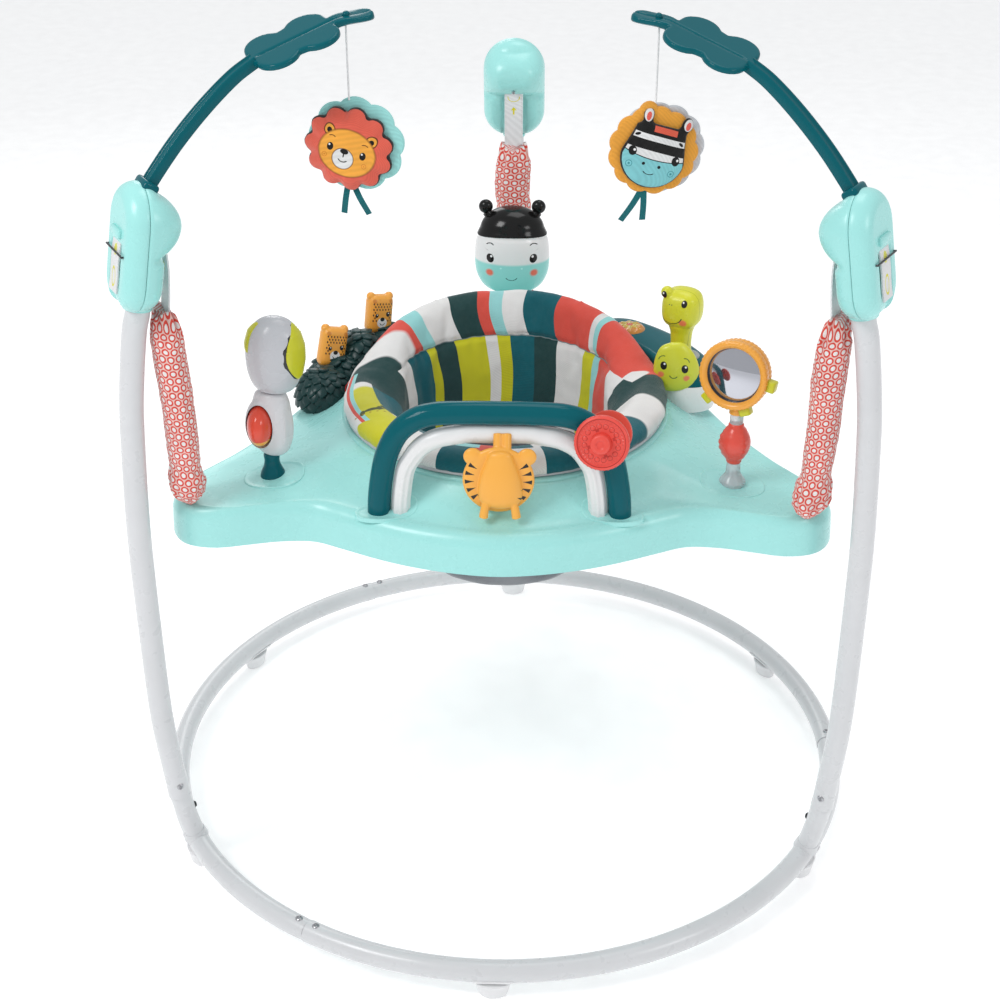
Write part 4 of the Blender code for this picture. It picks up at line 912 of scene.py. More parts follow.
def toy_arm(side, skin):
    def section(share):
        flare = 1.02 + 0.50 * ease(share, 0.08, 0.0) - 0.10 * ease(share, 0.5, 1.0)
        half = 0.0080 * flare
        deep = 0.0058 * (1 + 0.25 * ease(share, 0.06, 0.0))
        groove = 0.0022
        top = [(half * 0.46, deep - groove), (half * 0.62, deep - groove * 0.4), (half * 0.70, deep)]
        right = top + [(half * 0.90, deep), (half, deep * 0.86), (half * 0.94, 0.0), (half, -deep * 0.86),
                       (half * 0.90, -deep), (half * 0.70, -deep), (half * 0.60, -deep + groove * 0.6),
                       (half * 0.4, -deep + groove)]
        left = [(-a, b) for a, b in right[::-1]]
        return right + left
    path = smooth_path(radial(ARM), 10)
    arm = sweep(path, section)
    low = Vector((0.150, 0, 0.9905))
    along = (Vector((0.285, 0, 0.9460)) - low).normalized()
    normal = along.cross(Vector((0, -1, 0))).normalized()
    normal = normal if normal.z > 0 else -normal
    roll = LEAF_ROLL if polar(1, SIDES[side] + 90).y > 0 else -LEAF_ROLL
    normal = Matrix.Rotation(math.radians(roll), 3, along) @ normal
    place = Matrix((along, normal.cross(along), normal)).transposed().to_4x4()
    place.translation = low
    leaf = slab(leaf_outline(), 0.0085, place, 0.0022)
    leaf = fused("leaf", leaf, 0.0011, 8)
    inverse = place.inverted()
    for vert in leaf.verts:
        local = inverse @ vert.co
        crease = math.exp(-(local.y / 0.0016) ** 2) * ease(local.x, 0.135, 0.125)
        under = ease(-local.z, 0.001, 0.003) * ease(abs(local.y), 0.006, 0.010)
        vert.co -= normal * (0.0016 * crease if local.z > 0 else 0.0)
        vert.co += normal * 0.0018 * under
        vert.co.z -= 0.0085 * ease(local.x, 0.046, 0.0)
    rivet_at = place @ Vector((0.030, 0, 0.0034))
    rivet = turned([(0, 0.0022), (0.0024, 0.0018), (0.0036, 0.0002), (0.0036, -0.002), (0, -0.002)],
                   rivet_at, normal, 20)
    loop_at = Vector((STRING_RHO, 0, STRING_TOP_Z + 0.0005))
    lug = turned(rounded([(0, 0.006), (0.0036, 0.005), (0.0040, 0.0), (0.0026, -0.0006), (0, -0.0005)], 3),
                 loop_at, (0, 0, 1), 20)
    foot = box(Vector((0.3995, 0, 0.8395)), (0.0170, 0.0300, 0.0150), 0.0035,
               Matrix.Rotation(math.radians(-36), 4, "Y"))
    add("arm_" + side, spun(joined(arm, leaf, rivet, lug, foot), SIDES[side]), "frame", skin,
        "toy_arm_" + side, 55)


def string(name, side, body, skin, face_top):
    """A braided cord from the arm to the toy; the toy's weight keeps it straight."""
    here = polar(STRING_RHO, SIDES[side])
    path = [Vector((here.x, here.y, STRING_TOP_Z - (STRING_TOP_Z - face_top) * i / 16)) for i in range(17)]
    piece = add(name + "_cord", tube(path, 0.0010, 12, Vector((0, 1, 0))), body, skin,
                name + "_string", 60)


def scalloped(radius, lobes, depth, stretch=(1, 1), turn=0.0, steps=10):
    """An outline with round lobes."""
    points = []
    count = lobes * steps
    for i in range(count):
        angle = 2 * math.pi * i / count
        wave = abs(math.sin(angle * lobes / 2))
        r = radius * (1 - depth + depth * wave ** 0.8)
        a = angle + math.radians(turn)
        points.append((r * stretch[0] * math.cos(a), r * stretch[1] * math.sin(a)))
    return points


def puffed(obj, limit, voxel=0.0034, pressure=4.0):
    """Blow a closed fabric form up a little by cloth simulation, then keep the result."""
    remesh = obj.modifiers.new("remesh", "REMESH")
    remesh.mode = "VOXEL"
    remesh.voxel_size = voxel
    settle(obj)
    rest = [vert.co.copy() for vert in obj.data.vertices]
    modifier = obj.modifiers.new("cloth", "CLOTH")
    modifier.settings.effector_weights.gravity = 0
    modifier.settings.use_pressure = True
    modifier.settings.uniform_pressure_force = pressure
    modifier.settings.tension_stiffness = 12
    modifier.settings.compression_stiffness = 8
    modifier.settings.bending_stiffness = 1.5
    modifier.point_cache.frame_end = 20
    for step in range(1, 21):
        bpy.context.scene.frame_set(step)
    settle(obj)
    bpy.context.scene.frame_set(1)
    for vert, old in zip(obj.data.vertices, rest):
        moved = vert.co - old
        if moved.length > limit:
            vert.co = old + moved.normalized() * limit
    smooth = obj.modifiers.new("smooth", "SMOOTH")
    smooth.iterations = 3
    finer = obj.modifiers.new("finer", "SUBSURF")
    finer.levels = 1
    finer.render_levels = 1
    settle(obj)
    obj.data.shade_smooth()
    return obj


LION_AT = (-0.15588, -0.0900, 0.8490)
ZEBRA_TOY_AT = (0.15588, -0.0900, 0.8485)
RIBBON_DROP = 0.032


def toy_plane(centre, tilt, yaw):
    spin = Matrix.Rotation(math.radians(yaw), 4, "Z") @ upright_plane(-90)
    return Matrix.Translation(centre) @ spin @ Matrix.Rotation(math.radians(tilt), 4, "Z")


def ribbons(name, body, place, skin, foot, spread):
    shapes = []
    for lean, side in spread:
        path = [place @ Vector((side + lean * t, foot - RIBBON_DROP * t, 0.002 * math.sin(4 * t)))
                for t in (0, 0.2, 0.4, 0.6, 0.8, 1.0)]
        section = [(0.0032, 0.0003), (-0.0032, 0.0003), (-0.0032, -0.0003), (0.0032, -0.0003)]
        shapes.append(sweep(path, section, "caps", place.to_3x3() @ Vector((1, 0.1, 0))))
    add(name, joined(*shapes), body, skin, (), 50)


def lion(ribbon):
    place = toy_plane(LION_AT, -16, -8)
    spin = place.to_3x3()
    axes = (spin @ Vector((1, 0, 0)), spin @ Vector((0, 1, 0)))
    back = Surface("lion_backing", 0.85, AQUA)
    woven(back, 0.0010)
    front = Surface("lion_print", 0.85, (0.80, 0.13, 0.085))
    front.plane(LION_AT, *axes)
    brown = (0.10, 0.028, 0.010)
    rim = front.node("ShaderNodeAttribute", attribute_name="edge").outputs[2]
    front.paint(BLACK, front.between(rim, 0.02, 0.075))
    for x in (-23, 22):
        front.paint(brown, front.oval((x, 16.5), 6.2))
        front.paint(AMBER, front.oval((x, 16.5), 5.1))
        front.paint(BLACK, front.oval((x, 16.0), 2.7))
    front.paint(brown, front.oval((0, -2.5), (30.5, 25.2)))
    front.paint(AMBER, front.oval((0, -2.5), (29.6, 24.3)))
    front.paint(brown, front.oval((-3, -9.5), (11.6, 11.2)))
    front.paint((0.78, 0.78, 0.78), front.oval((-3, -9.5), (10.8, 10.4)))
    front.paint(BLACK, front.oval((-3, -1.6), (4.4, 2.8)))
    front.paint(BLACK, front.oval((-3, -5.4), (0.7, 2.8)))
    front.paint(BLACK, front.stroke((-3, -8.8), (5.0, 4.0), 1.3, 0, -0.45))
    for x in (-18.5, 16.5):
        front.eye((x, -0.5), (3.3, 4.2), (-0.35, 0.42))
        front.paint(brown, front.stroke((x, 9.0), (3.6, 2.6), 1.2, 180, -0.55))
        front.paint((0.72, 0.24, 0.03), front.stroke((x * 1.22, -10.5), 2.4, 0.7))
        front.paint((0.72, 0.24, 0.03), front.oval((x * 1.22, -10.5), 0.8))
    front.front_only((0.36, 0.76, 0.73), -1.0)
    woven(front, 0.0010)
    outline = scalloped(0.0505, 11, 0.12, (1.0, 0.93), 8)
    base = slab(scalloped(0.0515, 9, 0.09, (1.0, 0.95), 4), 0.0060,
                place @ Matrix.Translation((0.004, 0.0035, -0.0045)), 0.0028, 0.0008)
    backing = add("lion_back_layer", base, "lion_toy", back.material, (), 80)
    body = add("lion_face", slab(outline, 0.0100, place @ Matrix.Translation((-0.001, -0.001, 0.003)),
                                 0.0045, 0.003),
               "lion_toy", front.material, "lion_pad", 80)
    puffed(body, 0.005, 0.0024)
    mark_edge(body, place, outline, (-0.001, -0.001))
    ribbons("lion_ribbons", "lion_toy", toy_plane(LION_AT, 0, -8), ribbon, -0.0400,
            ((-0.006, -0.0050), (0.015, 0.0010)))


def mark_edge(obj, place, outline, shift):
    """Store how far each point lies inside an outline, as a share of 50 mm."""
    inverse = place.inverted()
    spots = [Vector((x + shift[0], y + shift[1])) for x, y in outline]
    layer = obj.data.attributes.new("edge", "FLOAT", "POINT")
    for index, vert in enumerate(obj.data.vertices):
        local = inverse @ (vert.co - AXIS)
        here = Vector((local.x, local.y))
        best = 1.0
        for a, b in zip(spots, spots[1:] + spots[:1]):
            line = b - a
            t = min(1.0, max(0.0, (here - a).dot(line) / line.length_squared))
            best = min(best, (here - a - line * t).length)
        layer.data[index].value = best / 0.050


def zebra_toy(ribbon):
    place = toy_plane(ZEBRA_TOY_AT, -17, 8)
    spin = place.to_3x3()
    axes = (spin @ Vector((1, 0, 0)), spin @ Vector((0, 1, 0)))
    grey = cloth("zebra_toy_grey", (0.62, 0.63, 0.66), 0.0010)
    amber = cloth("zebra_toy_amber", (0.86, 0.38, 0.05), 0.0010)
    front = Surface("zebra_toy_print", 0.85, (0.78, 0.78, 0.78))
    front.plane(ZEBRA_TOY_AT, *axes)
    front.paint(BLACK, front.above(front.v, 17.0))
    front.paint(BLACK, front.between(front.v, 1.0, 11.0))
    chin = front.minus(front.v, front.times(front.times(front.u, front.u), 0.004))
    front.paint(BLACK, front.below(chin, -7.2))
    front.paint((0.22, 0.58, 0.62), front.below(chin, -8.2))
    forelock = front.both(front.between(front.u, -9, 16), front.between(front.v, 20.5, 27))
    front.paint((0.78, 0.12, 0.07), forelock)
    for x in (-24, 23):
        front.eye((x, -3.6), (4.2, 5.0), (0.4, 0.25), 12)
        front.paint(BLACK, front.oval((x, 14.2), (3.0, 1.4), 30 if x < 0 else -30))
        front.paint((0.05, 0.28, 0.32), front.stroke((x * 0.98, -17.5), 3.2, 0.7))
        front.paint((0.05, 0.28, 0.32), front.oval((x * 0.98, -17.5), 1.2))
    for x in (-9, 8):
        front.paint(BLACK, front.oval((x, -13.5), 1.7))
    front.paint(BLACK, front.stroke((-1, -20), (6.0, 3.6), 1.3, 0, -0.4))
    rim = front.node("ShaderNodeAttribute", attribute_name="edge").outputs[2]
    front.paint(BLACK, front.below(rim, 0.045))
    for x in (-18, 25):
        front.paint(BLACK, front.oval((x, 34.5), (6.4, 8.0)))
        front.paint((0.78, 0.78, 0.78), front.oval((x, 34.5), (4.6, 6.2)))
        front.paint((0.78, 0.12, 0.09), front.oval((x, 33.5), (2.5, 4.4)))
    front.front_only((0.86, 0.38, 0.05), 1.0)
    woven(front, 0.0010)
    head = [(0.030, 0.012), (0.0275, 0.0245)] + arc((0.0, 0.0), 0.0385, 48, 132, 8)[1:-1]
    head = [(x, min(y, 0.0285)) for x, y in head] + [(-0.0275, 0.0245), (-0.030, 0.012), (-0.0335, -0.002)]
    head += [(x * 1.05, y) for x, y in arc((0, -0.006), 0.0335, 185, 355, 22)] + [(0.0335, -0.002)]
    ears = [slab([(x + 0.0065 * math.cos(math.radians(t)), 0.0340 + 0.0085 * math.sin(math.radians(t)))
                  for t in range(0, 360, 20)], 0.0070, place @ Matrix.Translation((0, 0, 0.0035)), 0.003)
            for x in (-0.018, 0.025)]
    back = add("zebra_toy_back_layer",
               joined(slab(scalloped(0.0480, 12, 0.06, (1.0, 0.98), 5), 0.0050,
                           place @ Matrix.Translation((0.006, 0.002, -0.0070)), 0.0023),
                      ball(place @ Vector((0.031, 0.030, -0.006)), (0.020, 0.020, 0.010), spin.to_4x4())),
               "zebra_toy", grey, (), 80)
    middle = add("zebra_toy_mane_layer",
                 joined(slab(scalloped(0.0475, 13, 0.07, (1.0, 0.97), 0), 0.0070,
                             place @ Matrix.Translation((0, -0.001, -0.0015)), 0.0032, 0.0006),
                        slab([(-0.018 + 0.0105 * math.cos(math.radians(t)),
                               0.0345 + 0.0125 * math.sin(math.radians(t)))
                              for t in range(0, 360, 20)], 0.0070,
                             place @ Matrix.Translation((0, 0, -0.0012)), 0.003)),
                 "zebra_toy", amber, (), 80)
    face = add("zebra_toy_face", joined(slab(head, 0.0085, place @ Matrix.Translation((0, 0, 0.0045)),
                                             0.004, 0.002),
                                        *ears), "zebra_toy", front.material,
               "zebra_toy_pad", 80)
    puffed(face, 0.005, 0.0024)
    mark_edge(face, place, head, (0, 0))
    ribbons("zebra_toy_ribbons", "zebra_toy", toy_plane(ZEBRA_TOY_AT, 0, 8), ribbon, -0.0430,
            ((-0.020, -0.012), (0.000, -0.009)))


# ---- Tray ----------------------------------------------------------------------------------
TRAY_RIM_Z = 0.481
HOLE_R = 0.1785


def tray_edge(count):
    """The tray's plan outline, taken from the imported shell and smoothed: radii by azimuth."""
    spots = {}
    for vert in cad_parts["tray_shell"].data.vertices:
        if abs(vert.co.z - 0.476) < 0.0002:
            here = vert.co - AXIS
            spots[round(math.degrees(math.atan2(here.y, here.x)), 1)] = math.hypot(here.x, here.y) + 0.007
    turns = sorted(spots)
    known = [Vector((turn, spots[turn], 0)) for turn in turns]
    known = [Vector((p.x - 360, p.y, 0)) for p in known[-3:]] + known + [Vector((p.x + 360, p.y,
            0)) for p in known[:3]]
    curve = smooth_path(known, 10)
    edge = []
    index = 0
    for step in range(count):
        turn = -180 + 360 * step / count
        while curve[index + 1].x <= turn:
            index += 1
        share = (turn - curve[index].x) / (curve[index + 1].x - curve[index].x)
        edge.append((turn, curve[index].y + share * (curve[index + 1].y - curve[index].y)))
    return edge


TRAY_EDGE = tray_edge(480)


def tray_shell(skin):
    edge = TRAY_EDGE

    def ring(inset, z):
        return [polar(rho - inset, turn, z) for turn, rho in edge]

    def slope(share, drop):
        points = []
        for turn, rho in edge:
            outer = rho - 0.016
            points.append(polar(outer + (0.194 - outer) * share, turn,
                                TRAY_RIM_Z + 0.029 * share ** 1.7 - drop))
        return points

    def circle_at(rho, z):
        return [polar(rho, turn, z) for turn, _ in edge]
    rings = [ring(0.0035, 0.4355), ring(0.0015, 0.4348), ring(-0.0003, 0.4352), ring(-0.0008, 0.4368)]
    rings += [ring(-0.0010 + 0.0016 * t, 0.4368 + 0.0270 * t) for t in (0.25, 0.5, 0.75, 1.0)]
    rings += [ring(0.0006 + 0.0154 * (1 - math.cos(math.radians(a))),
                   0.4638 + 0.0172 * math.sin(math.radians(a)))
              for a in range(8, 90, 9)]
    rings += [slope(t, 0) for t in (0.0, 0.06, 0.14, 0.25, 0.38, 0.52, 0.66, 0.78, 0.88, 0.95, 1.0)]
    rings += [circle_at(0.1905, 0.5108), circle_at(0.1903, 0.5126), circle_at(0.1892, 0.5138),
              circle_at(0.1870, 0.5142), circle_at(0.1815, 0.5142), circle_at(0.1795, 0.5138),
              circle_at(0.1786, 0.5124), circle_at(HOLE_R, 0.4700), circle_at(HOLE_R + 0.003, 0.4700),
              circle_at(HOLE_R + 0.003, 0.5030), circle_at(0.192, 0.5060)]
    rings += [slope(t, 0.003) for t in (1.0, 0.8, 0.6, 0.4, 0.2, 0.0)]
    rings += [ring(0.0100, 0.4740), ring(0.0052, 0.4660), ring(0.0038, 0.4500)]
    add("tray_moulding", loft(rings, "loop"), "tray", skin, "tray_shell", 40)
    outlines = [((-0.252, -0.137), (0.034, 0.026), 0), ((0.255, -0.140), (0.036, 0.027), 0),
                ((-0.1215, -0.2030), (0.034, 0.017), 6), ((0.1215, -0.2030), (0.034, 0.017), -6)]
    boss = [plateau(*outline) for outline in outlines]
    add("tray_bosses", joined(*boss), "tray", skin, (), 40)


def plateau(centre, radii, turn):
    """A low oval step moulded into the tray round a toy's foot."""
    rings = []
    for shrink, lift in ((0.0, -0.0040), (0.0, 0.0004), (0.0006, 0.0009), (0.0016, 0.0010),
                         (0.0032, 0.0004), (0.0060, 0.0003), (0.0120, 0.0003)):
        ring = []
        for i in range(96):
            angle = 2 * math.pi * i / 96
            x = (radii[0] - shrink) * math.copysign(abs(math.cos(angle)) ** 0.85, math.cos(angle))
            y = (radii[1] - shrink) * math.copysign(abs(math.sin(angle)) ** 0.85, math.sin(angle))
            spot = Matrix.Rotation(math.radians(turn), 2) @ Vector((x, y)) + Vector(centre)
            ring.append(Vector((spot.x, spot.y, tray_height(spot.x, spot.y) + lift)))
        rings.append(ring)
    return loft(rings)


def tray_height(x, y):
    """The tray's top at a plan position."""
    turn = math.degrees(math.atan2(y, x))
    rho = math.hypot(x, y)
    outer = TRAY_EDGE[int((turn + 180) / 0.75) % 480][1] - 0.016
    share = min(1.0, max(0.0, (outer - rho) / (outer - 0.194)))
    return TRAY_RIM_Z + 0.029 * share ** 1.7


# ---- Rail, tiger and spinner ---------------------------------------------------------------
RAIL_Y = -0.200


def arch(offset, foot_z):
    """Half a hoop mirrored: splayed legs, wide corners and a nearly level top."""
    half = 0.1300 - offset
    top = 0.5995 - offset
    legs = [(half, foot_z), (half - 0.0015, 0.500), (half - 0.0060, 0.530),
            (half - 0.0120, 0.553 - offset * 0.4), (half - 0.0240, 0.5760 - offset * 0.7),
            (half - 0.0420, 0.5910 - offset * 0.9), (half - 0.0640, 0.5978 - offset), (0.030, top),
            (0.0, top)]
    right = smooth_path([Vector((x, RAIL_Y, z)) for x, z in legs], 8)
    left = [Vector((-p.x, p.y, p.z)) for p in right[-2::-1]]
    return right + left


def rail(outer_skin, inner_skin, trim):
    outer = tube(arch(0.0, 0.470), 0.0125, 36)
    add("rail_outer_tube", outer, "tray", outer_skin, "rail_outer")
    path = arch(0.0236, 0.470)

    def fluted(share):
        low = ease(share, 0.30, 0.20) + ease(share, 0.70, 0.80)
        return [(0.0105 * (1 - 0.085 * low * (0.5 + 0.5 * math.cos(9 * a))) * math.cos(a),
                 0.0105 * (1 - 0.085 * low * (0.5 + 0.5 * math.cos(9 * a))) * math.sin(a))
                for a in (2 * math.pi * i / 72 for i in range(72))]
    inner = sweep(path, fluted)
    neck = [(0.0060, -0.0135)]
    for x in (-0.0105, -0.0065, -0.0025, 0.0015, 0.0055, 0.0095):
        neck += [(0.0060, x - 0.0012), (0.0072, x - 0.0008), (0.0072, x + 0.0008), (0.0060, x + 0.0012)]
    neck.append((0.0060, 0.0135))
    spindle = turned(neck, (0.004, RAIL_Y, 0.5759), (1, 0, 0), 40)
    add("rail_inner_tube", joined(inner, spindle), "tray", inner_skin, "rail_inner", 30)
    tabs = [turned([(0, -0.0016), (0.0085, -0.0016), (0.0092, 0), (0.0085, 0.0016), (0, 0.0016)],
                   (x, RAIL_Y, 0.5759),
                   (1, 0, 0), 36) for x in (-0.0115, 0.0195)]
    add("spindle_stops", joined(*tabs), "tray", trim)


def tiger():
    """A flat disc of a face, turned to the child, on a pear body that hangs from the spindle."""
    skin = Surface("tiger_plastic", 0.34, (0.90, 0.42, 0.060))
    skin.plane((0, -0.2240, 0.5330), (1, 0, 0), (0, 0, 1))
    turn = skin.times(skin.math("ARCTAN2", skin.v, skin.span(skin.u)), 180 / math.pi)
    size = skin.vector("LENGTH", skin.flat)
    front = skin.above(skin.depth, -1.0)
    for spot in (-38, -21, -4, 13, 30):
        off = skin.span(skin.minus(turn, spot))
        wedge = skin.below(off, skin.times(skin.minus(size, 25.0), 0.40))
        skin.paint(BLACK, skin.both(front, skin.both(wedge, skin.between(size, 25.5, 35.5))))
    back = skin.below(skin.depth, -3.5)
    skin.paint((0.93, 0.66, 0.20), skin.both(skin.oval((0, -13), (22, 15)), back))
    for x in (-12, 12):
        skin.paint(BLACK, skin.both(skin.oval((x, 4), (3.6, 4.6)), back))
    skin.paint(BLACK, skin.both(skin.oval((0, -6), (4.6, 3.2)), back))
    skin.paint(BLACK, skin.both(skin.stroke((0, -14), (7.0, 5.0), 1.1, 0, -0.2), back))
    moulded(skin)
    disc = turned(rounded([(0, -0.0045), (0.0290, -0.0045), (0.0355, -0.0034), (0.0378, -0.0010),
                           (0.0376, 0.0016), (0.0352, 0.0034), (0.0290, 0.0040), (0, 0.0042)], 4),
                  (0, -0.2200, 0.5315), (0, -1, 0), 72)
    belly = turned(rounded([(0, -0.0330), (0.0130, -0.0315), (0.0215, -0.0250), (0.0235, -0.0150),
                            (0.0210, 0.0030), (0.0150, 0.0200), (0.0105, 0.0300), (0, 0.0330)], 5),
                   (0.002, -0.2260, 0.5350), (0, 0, 1), 48, (1.0, 0.50))
    ears = [ball((x, -0.2200, 0.5585), (0.0200, 0.0090, 0.0200)) for x in (-0.0270, 0.0300)]
    legs = [tube([Vector((x, -0.2290, 0.5120)), Vector((x * 1.15, -0.2310, 0.5020)),
                  Vector((x * 1.25, -0.2325, 0.4925))],
                 lambda share: 0.0042 + 0.0008 * share, 20) for x in (-0.0125, 0.0155)]
    straps = [tube(smooth_path([Vector((x, -0.2225, 0.5480)), Vector((x, -0.2190, 0.5610)),
                                Vector((x, -0.2120, 0.5740)),
                                Vector((x, -0.2085, 0.5800))], 4), 0.0050, 20) for x in (-0.0008, 0.0085)]
    loop = turned([(0.0078, -0.0110), (0.0098, -0.0104), (0.0104, -0.0085), (0.0104, -0.0010),
                   (0.0094, -0.0002), (0.0104, 0.0006), (0.0104, 0.0085), (0.0098, 0.0104),
                   (0.0078, 0.0110), (0.0078, -0.0110)],
                  (0.004, RAIL_Y, 0.5759), (1, 0, 0), 44)
    body = fused("tiger", joined(disc, belly, *ears, *legs, *straps), 0.0009, 3)
    add("tiger_toy", joined(body, loop), "tiger", skin.material, "tiger", 50)


SPINNER_AXIS = Vector((-0.17, -0.95, 0.26)).normalized()
SPINNER_FACE = Vector((0.1070, -0.2275, 0.5800))


def spinner(dark):
    """A disc with a hub that turns on the rail's corner: its slots are painted darker as shade, and its
    raised dots are ringed with painted shade.
    """
    front = Surface("spinner_plastic", 0.33, (0.78, 0.075, 0.055))
    across = Vector((0, 0, 1)).cross(SPINNER_AXIS).normalized() * -1
    up = SPINNER_AXIS.cross(across).normalized()
    up = up if up.z > 0 else -up
    across = up.cross(SPINNER_AXIS).normalized()
    front.plane(SPINNER_FACE, across, up)
    size = front.vector("LENGTH", front.flat)
    turn = front.math("ARCTAN2", front.v, front.u)
    front.paint((0.40, 0.018, 0.012), front.between(size, 25.0, 25.8))
    # Painted shade: four darker patches stand for the shade in the slots.
    front.paint((0.50, 0.028, 0.020),
                front.both(front.between(size, 12.5, 15.5),
                           front.above(front.math("SINE", front.times(turn, 4.0)), 0.86)))
    wedge = front.math("PINGPONG", front.plus(turn, math.pi), math.pi / 8)
    spot = front.node("ShaderNodeCombineXYZ", front.times(wedge, 17.6), size, 0.0).outputs[0]
    off = front.vector("LENGTH", front.vector("SUBTRACT", spot, (3.4, 17.8, 0)))
    # Painted shade: a darker ring round each raised dot.
    front.paint((0.48, 0.028, 0.020), front.between(off, 2.3, 2.9))
    front.bump(front.ramp(off, 2.6, 1.6), 0.0006)
    beads = front.math("SINE", front.times(turn, 40.0))
    front.bump(front.both(front.between(size, 21.8, 23.4), beads), 0.0003)
    moulded(front)
    disc = turned(rounded([(0, -0.0035), (0.0262, -0.0035), (0.0288, -0.0018), (0.0290, 0.0010),
                           (0.0276, 0.0034), (0.0250, 0.0036), (0.0238, 0.0024), (0.0120, 0.0024),
                           (0.0108, 0.0030), (0.0104, 0.0100), (0.0090, 0.0122), (0.0050, 0.0125),
                           (0.0042, 0.0112), (0, 0.0110)], 3),
                  SPINNER_FACE, SPINNER_AXIS, 72)
    ribs = []
    for i in range(40):
        angle = 2 * math.pi * i / 40
        place = SPINNER_FACE + across * 0.0286 * math.cos(angle) + up * 0.0286 * math.sin(angle)
        ribs.append(ball(place, (0.0016, 0.0016, 0.0060), Vector((0, 0, 1)).rotation_difference(
            SPINNER_AXIS).to_matrix().to_4x4(), 8))
    add("spinner_face", joined(disc, *ribs), "spinner", front.material, "spinner_disc", 40)
    rear = turned(rounded([(0, -0.0570), (0.0225, -0.0568), (0.0248, -0.0552), (0.0248, -0.0530),
                           (0.0225, -0.0516), (0, -0.0515)], 3), SPINNER_FACE, SPINNER_AXIS, 56)
    shaft = turned([(0, -0.0530), (0.0040, -0.0530), (0.0040, -0.001), (0, -0.001)], SPINNER_FACE,
                   SPINNER_AXIS, 24)
    add("spinner_back", joined(rear, shaft), "spinner", dark, (), 40)


# ---- Seat ----------------------------------------------------------------------------------
LEG_R = 0.052


def back_rise(turn):
    lift = max(0.0, math.sin(turn))
    return lift * lift * (3 - 2 * lift)


def seat_ring(skin):
    profile = [(0.1532, 0.5150), (0.1540, 0.5144), (0.1720, 0.5144), (0.1734, 0.5132), (0.1735, 0.4745),
               (0.1742, 0.4738), (0.1758, 0.4738), (0.1765, 0.4745), (0.1766, 0.5132), (0.1780, 0.5144),
               (0.1840, 0.5144), (0.1858, 0.5152), (0.1862, 0.5168), (0.1856, 0.5184), (0.1840, 0.5192),
               (0.1545, 0.5192), (0.1532, 0.5184)]
    rings = [[polar(rho, turn, z) for turn in range(0, 360, 3)] for rho, z in profile]
    add("turning_ring", loft(rings, "loop"), "seat", skin, "seat_ring", 40)


class SeatPrint(Surface):
    """Seat cloth: bold shapes laid out by azimuth and height."""

    def start(self):
        self.x, self.y, self.z = self.node("ShaderNodeSeparateXYZ", self.vector(
            "SUBTRACT", self.place, AXIS)).outputs
        turn = self.math("ARCTAN2", self.y, self.x)
        self.turn = self.times(turn, 180 / math.pi)
        self.rho = self.math("SQRT", self.plus(self.times(self.x, self.x),
                                               self.times(self.y, self.y)))

    def bands(self, shares, where):
        """Colours side by side: each pair is a limit and the colour up to it."""
        colour = shares[-1][1]
        for limit, shade in shares[-2::-1]:
            colour = self.mix(self.below(where, limit), colour, shade)
        return colour

    def bulge(self, height, low, high, size):
        """An azimuth shift, largest halfway between two heights."""
        share = self.ramp(height, low, high)
        return self.times(self.math("SINE", self.times(share, math.pi)), size)


CREAM = (0.80, 0.79, 0.78)
SEAT_CORAL = (0.74, 0.090, 0.065)
SEAT_AQUA = (0.32, 0.68, 0.68)
SEAT_TEAL = (0.004, 0.115, 0.145)
SEAT_LIME = (0.62, 0.60, 0.020)
SEAT_PINE = (0.014, 0.056, 0.056)


